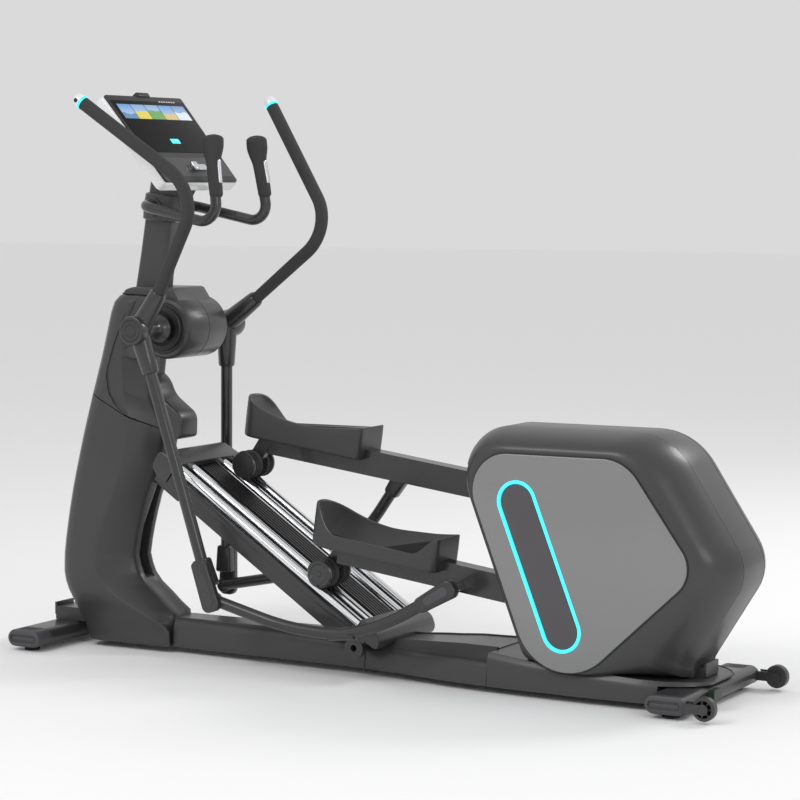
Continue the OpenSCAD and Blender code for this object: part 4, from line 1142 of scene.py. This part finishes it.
@dataclass
class SwingArm:
    """One swing arm: hub barrel, sleeves, lower tube, elbow cover, foam handle and tip."""

    side_name: str
    hub: Point = HUB
    lower: float = 764.0
    foot_angle: float = -70.8
    hand_angle: float = 57.0
    sleeve: float = 121.0
    sleeve_y: float = 221.0
    elbow_y: float = 245.0

    def polar(self, reach: float, angle: float, y: float) -> Vector:
        """Point at a distance and angle from the hub, at y."""
        a = math.radians(angle)
        return Vector((self.hub[0] + reach * math.cos(a), y, self.hub[1] + reach * math.sin(a)))

    def place(self) -> Matrix:
        """Turns and mirrors the drawn arm to its side; both arms are drawn in the left one's pose."""
        side = SIDES[self.side_name]
        centre = mm(self.hub[0], 0, self.hub[1])
        angle = 0.0 if side < 0 else swing_angle()
        return (Matrix.Translation(centre) @ Matrix.Rotation(angle, 4, "Y") @ Matrix.Translation(-centre)
                @ Matrix.Diagonal((1, side, 1, 1)))

    def barrel(self) -> list[bpy.types.Object]:
        """The hub's barrel and its grooved cap."""
        barrel = lathe("barrel", [(16, 116), (37, 116), (38, 118), (38, 126), (33, 131), (25, 137), (21.5, 146),
                                  (20.5, 160), (20.5, 205), (16, 205), (16, 116)], self.hub)
        cap = lathe("cap", [(16, 206), (28, 206), (34, 214), (38, 226), (40, 240), (40, 256), (38.5, 259.5),
                            (35, 261), (31, 261), (30, 259.6), (28, 259.6), (27, 261), (19, 261), (18, 259.6),
                            (16, 259.6), (15, 261), (0.4, 261)], self.hub)
        return [barrel, cap]

    def elbow(self) -> list[bpy.types.Object]:
        """The cover of the lower elbow with its oval inset."""
        spot = self.polar(self.lower, self.foot_angle, 0)
        loop = outline([(-30, -28, 20), (112, -24, 10), (112, 24, 10), (-30, 28, 20)], 8)
        body = slab("elbow", loop, 246, 268, 5)
        root = slab("root", outline([(38, -26, 8), (116, -22, 8), (116, 22, 8), (38, 26, 8)]), 224, 262, 6)
        inset = slab("inset", outline([(-14, -15, 14), (78, -13, 12), (78, 13, 12), (-14, 15, 14)]),
                     266, 269.4, 1.2)
        turn = Matrix.Translation(mm(spot.x, 0, spot.z)) @ Matrix.Rotation(
            math.radians(-(self.foot_angle + 180)), 4, "Y")
        return [moved(paint(part, look), turn) for part, look in
                ((body, Look.ARM), (root, Look.ARM), (inset, Look.CHARCOAL))]

    def build(self) -> None:
        """Builds and settles the arm."""
        def taper(share: float) -> tuple[float, float]:
            """Radius of a sleeve, with a small step at its very end."""
            radius = 30 - 7 * share - (2 if share > 0.99 else 0)
            return radius, radius

        name = self.side_name
        up = sweep("upper_sleeve", [self.polar(r, self.hand_angle, self.sleeve_y) for r in (0, 60, 119, 125)],
                   taper, 32)
        down = sweep("lower_sleeve", [self.polar(r, self.foot_angle, self.sleeve_y + r / 40)
                                      for r in (0, 60, 119, 124)], taper, 32)
        tube = sweep("tube", [self.polar(60, self.foot_angle, self.sleeve_y + 1),
                              self.polar(self.lower - 60, self.foot_angle, self.elbow_y)], 16.5, 32)
        parts = [paint(p, Look.ARM) for p in (*self.barrel(), up, down, tube)] + self.elbow()
        arm = join(f"{name}_arm", parts)
        settle(moved(arm, self.place()), f"{name}_swing_arm", "arm_paint", None, f"{name}_swing_arm")
        start = self.polar(self.sleeve - 4, self.hand_angle, self.sleeve_y + 1)
        corner, tip, cap_length = self.polar(433, 60, 251), self.polar(651, 103, 304), 32
        along = (tip - corner).normalized()
        end = tip - along * cap_length
        line = route([(*start, 0), (*corner, 105), (*end, 0)], 20)
        foam = sweep("foam", line, (lambda share: (18.0, 18.0) if share > 0.03 else (16.5, 16.5)), 32)
        ring = sweep("ring", [end + along * 1, end + along * 7], 19.6, 32)
        cap = sweep("tip", [end + along * 7, end + along * 22], (lambda share: (19.0 - 2 * share,) * 2), 32,
                    round_ends=9)
        dot = lathe("dot", [(0.4, 0), (5, 0), (6, 0.8), (0.4, 1.6)], (0, 0))
        moved(dot, Matrix.Translation((end + along * 14) * MM + mm(0, 18, 0)))
        hand = join(f"{name}_handle", [paint(part, look) for part, look in (
            (foam, Look.FOAM), (ring, Look.CYAN), (cap, Look.WHITE), (dot, Look.BLACK))])
        settle(moved(hand, self.place()), f"{name}_swing_arm", "grip_foam", None, f"{name}_swing_handle")


def coupling(joint: str) -> float:
    """Ratio at which a joint follows the stride."""
    return next(c["ratio"] for c in RECORD["behaviour"]["couplings"] if c["joint"] == joint)


def joint_named(name: str) -> dict[str, Any]:
    """A joint of the record."""
    return next(j for j in RECORD["behaviour"]["joints"] if j["name"] == name)


def swing_angle() -> float:
    """Turn of a swing arm over a full stride, in radians."""
    return coupling("left_swing") * joint_named("left_stride")["range_m"][1]


@dataclass
class Link:
    """The bowed tube from an elbow to its pedal arm, with the cover of its rear joint."""

    side_name: str
    length: float = 712.4
    sag: float = 104.0
    y: float = 236.0
    rise: dict[str, float] = field(default_factory=lambda: {"left": 6.30, "right": 31.52})

    def build(self) -> None:
        """Builds and settles the link."""
        side, name = SIDES[self.side_name], self.side_name
        line = route([(0, self.y, 0, 0), (280, self.y, -self.sag, 150), (470, self.y, -self.sag, 120),
                      (self.length, self.y, 0, 0)], 16)
        tube = paint(sweep("tube", line, 16, 32), Look.LINK)
        eye = paint(lathe("eye", [(8.5, 225.5), (19, 225.5), (20, 227), (20, 245), (19, 246.4), (8.5, 246.4),
                                  (8.5, 225.5)], (0, 0)), Look.LINK)
        tilt = Matrix.Translation(mm(self.length, 0, 0)) @ Matrix.Rotation(math.radians(-24), 4, "Y")
        cover = slab("cover", outline([(-96, -20, 14), (30, -27, 20), (30, 27, 20), (-96, 20, 14)]),
                     220, 252, 8)
        inset = slab("inset", outline([(-66, -11, 10), (12, -13, 12), (12, 13, 12), (-66, 11, 10)]),
                     250, 253.2, 1.2)
        stud = lathe("stud", [(0.4, 152), (9, 152), (9, 208), (15, 214), (15, 222), (0.4, 222)], (0, 0))
        for part, look in ((cover, Look.LINK), (inset, Look.CAP), (stud, Look.STEEL)):
            moved(paint(part, look), tilt)
        joint = joint_named(f"{name}_link_pivot")["pos_m"]
        place = (Matrix.Translation(Vector((joint[0], 0, joint[2])))
                 @ Matrix.Rotation(-math.radians(self.rise[name]), 4, "Y") @ Matrix.Diagonal((1, side, 1, 1)))
        obj = join(f"{name}_link_tube", [tube, eye, cover, inset, stud])
        settle(moved(obj, place), f"{name}_link", "link_grey", None, f"{name}_link")


@dataclass
class Ramp:
    """End covers, rail beds and the ridged track of the ramp."""

    angle: float = 33.9
    half: float = 159.0
    # inner and outer Y, lower and upper side of a bed
    beds: tuple[tuple[float, float, float, float], ...] = ((62, 150, 28, 38), (147, 158.5, 30, 47))

    def place(self) -> Matrix:
        """The ramp's frame: local -X up the slope, Z square to the rails."""
        return (Matrix.Translation(Vector(joint_named("incline")["pos_m"]))
                @ Matrix.Rotation(math.radians(self.angle), 4, "Y"))

    def build(self) -> None:
        """Builds and settles the ramp's pieces."""
        wedge = slab("wedge", outline([(58, 40, 8), (58, 62, 12), (30, 83, 14), (-24, 80, 4), (-24, 44, 2),
                                       (18, 36, 8)]), -self.half, self.half, 5)
        crown = slab("crown", outline([(-714, 80, 3), (-790, 74, 16), (-788, 20, 14), (-756, 4, 8),
                                       (-716, 8, 3)]), -self.half, self.half, 7)
        beds = []
        for side in SIDES.values():
            for inner, outer, low, high in self.beds:
                y0, y1 = sorted((inner * side, outer * side))
                beds.append(box("bed", (-736, y0, low), (-30, y1, high), 1.5))
        covers = join("ramp_covers", [wedge, crown])
        settle(moved(covers, self.place()), "ramp", "cover_charcoal", Look.CHARCOAL, "ramp_end_covers")
        settle(moved(join("rail_beds", beds), self.place()), "ramp", "frame_paint", Look.FRAME)
        ridges = Repeat(7, mm(-370, -39, 62.5), mm(0, 13, 0), mm(690, 7, 4)).build("track_ridges", Look.BLACK)
        settle(moved(ridges, self.place()), "ramp", "track_black", Look.BLACK)


@dataclass
class Pedal:
    """One cupped pedal: high round the toe and the inner side, low at the outer rear."""

    side_name: str
    front: float = -1024.0
    length: float = 400.0
    inner: float = 60.0
    width: float = 140.0
    high: float = 86.0
    dip: float = 38.0
    heel: float = 62.0
    low: float = 13.0
    skirt: float = 27.0
    deck: float = 35.0

    def rim(self, p: Vector) -> float:
        """Height of the rim at a point of the footprint."""
        share, out = (p.x - self.front) / self.length, (p.y - self.inner) / self.width
        lowest, toe, heel, border = 0.55, 0.24, 0.82, 0.12  # the first three are shares of the length
        inside = self.dip + (self.high - self.dip) * max(0.0, 1 - share / lowest) ** 2
        inside += (self.heel - self.dip) * max(0.0, (share - lowest) / (1 - lowest)) ** 1.5
        outside = self.low + (self.high - self.low) * ease(1 - share / toe)
        outside += (self.heel - self.low) * ease((share - heel) / (1 - heel))
        return inside + (outside - inside) * ease((out - border) / (1 - 2 * border))

    def build(self, pin: Point, pitch: float) -> None:
        """Builds and settles the pedal.

        Args:
            pin: The crank pin that the pedal arm is drawn from.
            pitch: Downward pitch of the arm to the rear, in degrees.
        """
        name, side = self.side_name, SIDES[self.side_name]
        x0, x1, y0, y1 = self.front, self.front + self.length, self.inner, self.inner + self.width
        loop = resample(outline([(x0, y0, 66), (x0, y1, 73), (x1, y1, 20), (x1, y0, 14)], 12), 170,
                        Vector((x0, y0)))

        def level(inset: float, height: Callable[[float], float]) -> list[Vector]:
            """One ring of the cup."""
            return [mm(q.x, q.y, height(self.rim(p))) for p, q in zip(loop, shrink(loop, inset))]

        drop = -self.skirt
        rings = [level(14, lambda h: 1), level(9, lambda h: 0), level(8, lambda h: drop + 2),
                 level(6, lambda h: drop), level(3, lambda h: drop), level(1.5, lambda h: drop + 2),
                 level(0.4, lambda h: drop + 8), level(0, lambda h: h * 0.5), level(0.4, lambda h: h - 3),
                 level(1.2, lambda h: h - 0.8), level(3.5, lambda h: h), level(6.5, lambda h: h - 0.8),
                 level(8, lambda h: h - 3)]
        bowl = [level(8.2 + 13 * (1 - math.cos(t)), lambda h, t=t: 6.5 + (h - 9.7) * (1 - math.sin(t)))
                for t in (math.pi / 12 * k for k in range(7))]
        cup = paint(loft("cup", rings + [bowl[0]], 40, cap=False), Look.PEDAL)
        well = paint(loft("well", [*bowl, level(20, lambda h: 3), level(14, lambda h: 1)], 50), Look.BLACK)
        ribs = Repeat(9, mm((x0 + x1) / 2 + 6, y0 + 26, 7.4), mm(0, (self.width - 52) / 8, 0),
                      mm(self.length - 90, 4, 2.4)).build("ribs", Look.BLACK)
        base = paint(box("base", (x0 + 60, y0 + 12, -6), (x1 - 20, y1 - 12, 3), 2), Look.PEDAL)
        obj = join(f"{name}_cup", [cup, well, ribs, base])
        place = (Matrix.Translation(mm(pin[0], 0, pin[1])) @ Matrix.Rotation(math.radians(pitch), 4, "Y")
                 @ Matrix.Diagonal((1, side, 1, 1)) @ Matrix.Translation(mm(0, 0, self.deck)))
        settle(moved(obj, place), f"{name}_pedal_arm", "pedal_black", None, f"{name}_pedal")


@dataclass
class Carriage:
    """The axle and end caps that hold a pair of rollers."""

    side_name: str
    radius: float = 38.0

    def build(self) -> None:
        """Builds and settles the carriage."""
        name, side = self.side_name, SIDES[self.side_name]
        axle = joint_named(f"{name}_roller_spin")["pos_m"]
        low, high = extent(f"{name}_carriage")
        y0, y1 = sorted((abs(low[1]), abs(high[1])))
        centre, r = (axle[0] / MM, axle[2] / MM), self.radius
        outer = lathe("outer", [(9, y1 - 10), (r - 2, y1 - 10), (r, y1 - 8), (r, y1 - 3), (r - 3, y1),
                                (r - 11, y1 + 0.6), (r - 13, y1 - 1.4), (8, y1 - 1.4), (7, y1), (0.4, y1)],
                      centre, side)
        near, far = sorted((side * (y1 + 2), side * (y1 - 5)))
        cut(outer, box("notch", (centre[0] - 5, near, centre[1] - r - 2),
                       (centre[0] + 5, far, centre[1] - r + 9), 0))
        inner = lathe("inner", [(0.4, y0), (r - 3, y0), (r, y0 + 3), (r, y0 + 8), (r - 2, y0 + 10),
                                (9, y0 + 10)], centre, side)
        axle_rod = lathe("axle", [(0.4, y0 + 9), (9, y0 + 9), (9, y1 - 9), (0.4, y1 - 9)], centre, side)
        obj = join(f"{name}_roller_caps", [outer, inner, axle_rod])
        settle(obj, f"{name}_carriage", "arm_paint", Look.ARM, f"{name}_carriage")


def dress_frame(nodes: dict[str, bpy.types.Object]) -> None:
    """Gives each node that stays in view its finish."""
    looks = {
        Look.FRAME: ("base_frame", "stabilizers", "tower_post", "wheel_brackets", "drive_frame", "crank_arms",
                     "ramp_frame"),
        Look.RUBBER: ("rubber_feet",), Look.STEEL: ("bearings", "pivot_axle", "crank_axle"),
        Look.ARM: ("left_pedal_arm", "right_pedal_arm"), Look.CHROME: ("ramp_rails",),
        Look.BLACK: ("ramp_track",), Look.ROLLER: ("left_rollers", "right_rollers"),
        Look.BELT: ("drive_belt",), Look.MOTOR: ("lift_actuator",), Look.BOARD: ("control_electronics",),
        Look.PULLEY: ("drive_pulley", "idler_pulley"), Look.IRON: ("flywheel",),
        Look.KEY: ("left_grip_keys", "right_grip_keys"),
    }
    for look, names in looks.items():
        for name in names:
            paint(nodes[name], look)


@dataclass
class Studio:
    """Pale floor, soft lamps and the camera."""

    azimuth: float = 29.119
    elevation: float = 4.722
    place: tuple[float, float, float] = (3.478, -6.142, 1.317)
    lens: float = 118.44
    pale: float = 0.70
    glow: float = 0.72

    def backdrop(self) -> None:
        """The floor and the world."""
        reach = 40
        corners = [Vector((x * reach, y * reach, 0)) for x, y in ((-1, -1), (1, -1), (1, 1), (-1, 1))]
        floor = mesh_object("floor", corners, [(0, 1, 2, 3)])
        s = Shader("pale_floor")
        s.set("Base Color", s.blend(s.noise(s.place(), 2.0), (0.925, 0.925, 0.925, 1),
                                    (0.935, 0.935, 0.935, 1)))
        s.set("Roughness", 0.95)
        floor.data.materials.append(s.material)
        world = bpy.data.worlds.new("studio")
        bpy.context.scene.world = world
        world.use_nodes = True
        tree = world.node_tree
        back = tree.nodes["Background"]
        path, mix = tree.nodes.new("ShaderNodeLightPath"), tree.nodes.new("ShaderNodeMix")
        mix.inputs[2].default_value, mix.inputs[3].default_value = self.glow, self.pale
        tree.links.new(path.outputs["Is Camera Ray"], mix.inputs[0])
        tree.links.new(mix.outputs[0], back.inputs["Strength"])
        back.inputs["Color"].default_value = (1, 1, 1, 1)

    def lamp(self, name: str, at: Sequence[float], aim: Sequence[float], size: float, power: float) -> None:
        """One soft area lamp aimed at a point."""
        light = bpy.data.lights.new(name, "AREA")
        light.size, light.energy = size, power
        obj = bpy.data.objects.new(name, light)
        obj.location = at
        obj.rotation_euler = (Vector(aim) - Vector(at)).to_track_quat("-Z", "Y").to_euler()
        bpy.context.scene.collection.objects.link(obj)

    def build(self) -> None:
        """Builds the studio."""
        self.backdrop()
        self.lamp("key", (-1.5, -4.5, 4.5), (0, 0, 0.6), 2.0, 85)
        self.lamp("rim", (2.5, 3.5, 3.8), (0, 0, 0.8), 1.5, 75)
        self.lamp("fill", (5.0, -3.0, 2.5), (0.3, 0, 0.6), 2.0, 40)
        camera = bpy.data.objects.new("camera", bpy.data.cameras.new("camera"))
        camera.data.lens, camera.data.sensor_width = self.lens, 36.0
        camera.data.clip_end = 200
        camera.location = self.place
        camera.rotation_euler = (math.radians(90 - self.elevation), 0, math.radians(self.azimuth))
        bpy.context.scene.collection.objects.link(camera)
        bpy.context.scene.camera = camera
        bpy.context.scene.view_settings.view_transform = "Standard"


def pedal_pins() -> dict[str, Point]:
    """The crank pins, worked out from the roller axles and the arms' reach and drop."""
    reach, drop = 986.0, math.radians(3.5)
    pins = {}
    for name in SIDES:
        x, _, z = joint_named(f"{name}_arm_pitch")["pos_m"]
        pins[name] = (x / MM + reach * math.cos(drop), z / MM - reach * math.sin(drop))
    return pins


def main(frame: dict[str, Any]) -> None:
    """Builds the trainer round its frame, the studio first."""
    RECORD.update(frame["record"])
    Studio().build()
    dress_frame(frame["nodes"])
    Base().build()
    Tower().build()
    Housing().build()
    Handlebar().build()
    Console().build()
    Ramp().build()
    pins = pedal_pins()
    for name in SIDES:
        SwingArm(name).build()
        Link(name).build()
        Pedal(name).build(pins[name], 7.7)
        Carriage(name).build()
    LOG.info("the trainer is built")


if __name__ == "__main__":
    logging.basicConfig(level=logging.INFO, format="%(message)s")
    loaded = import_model()
    main(loaded)
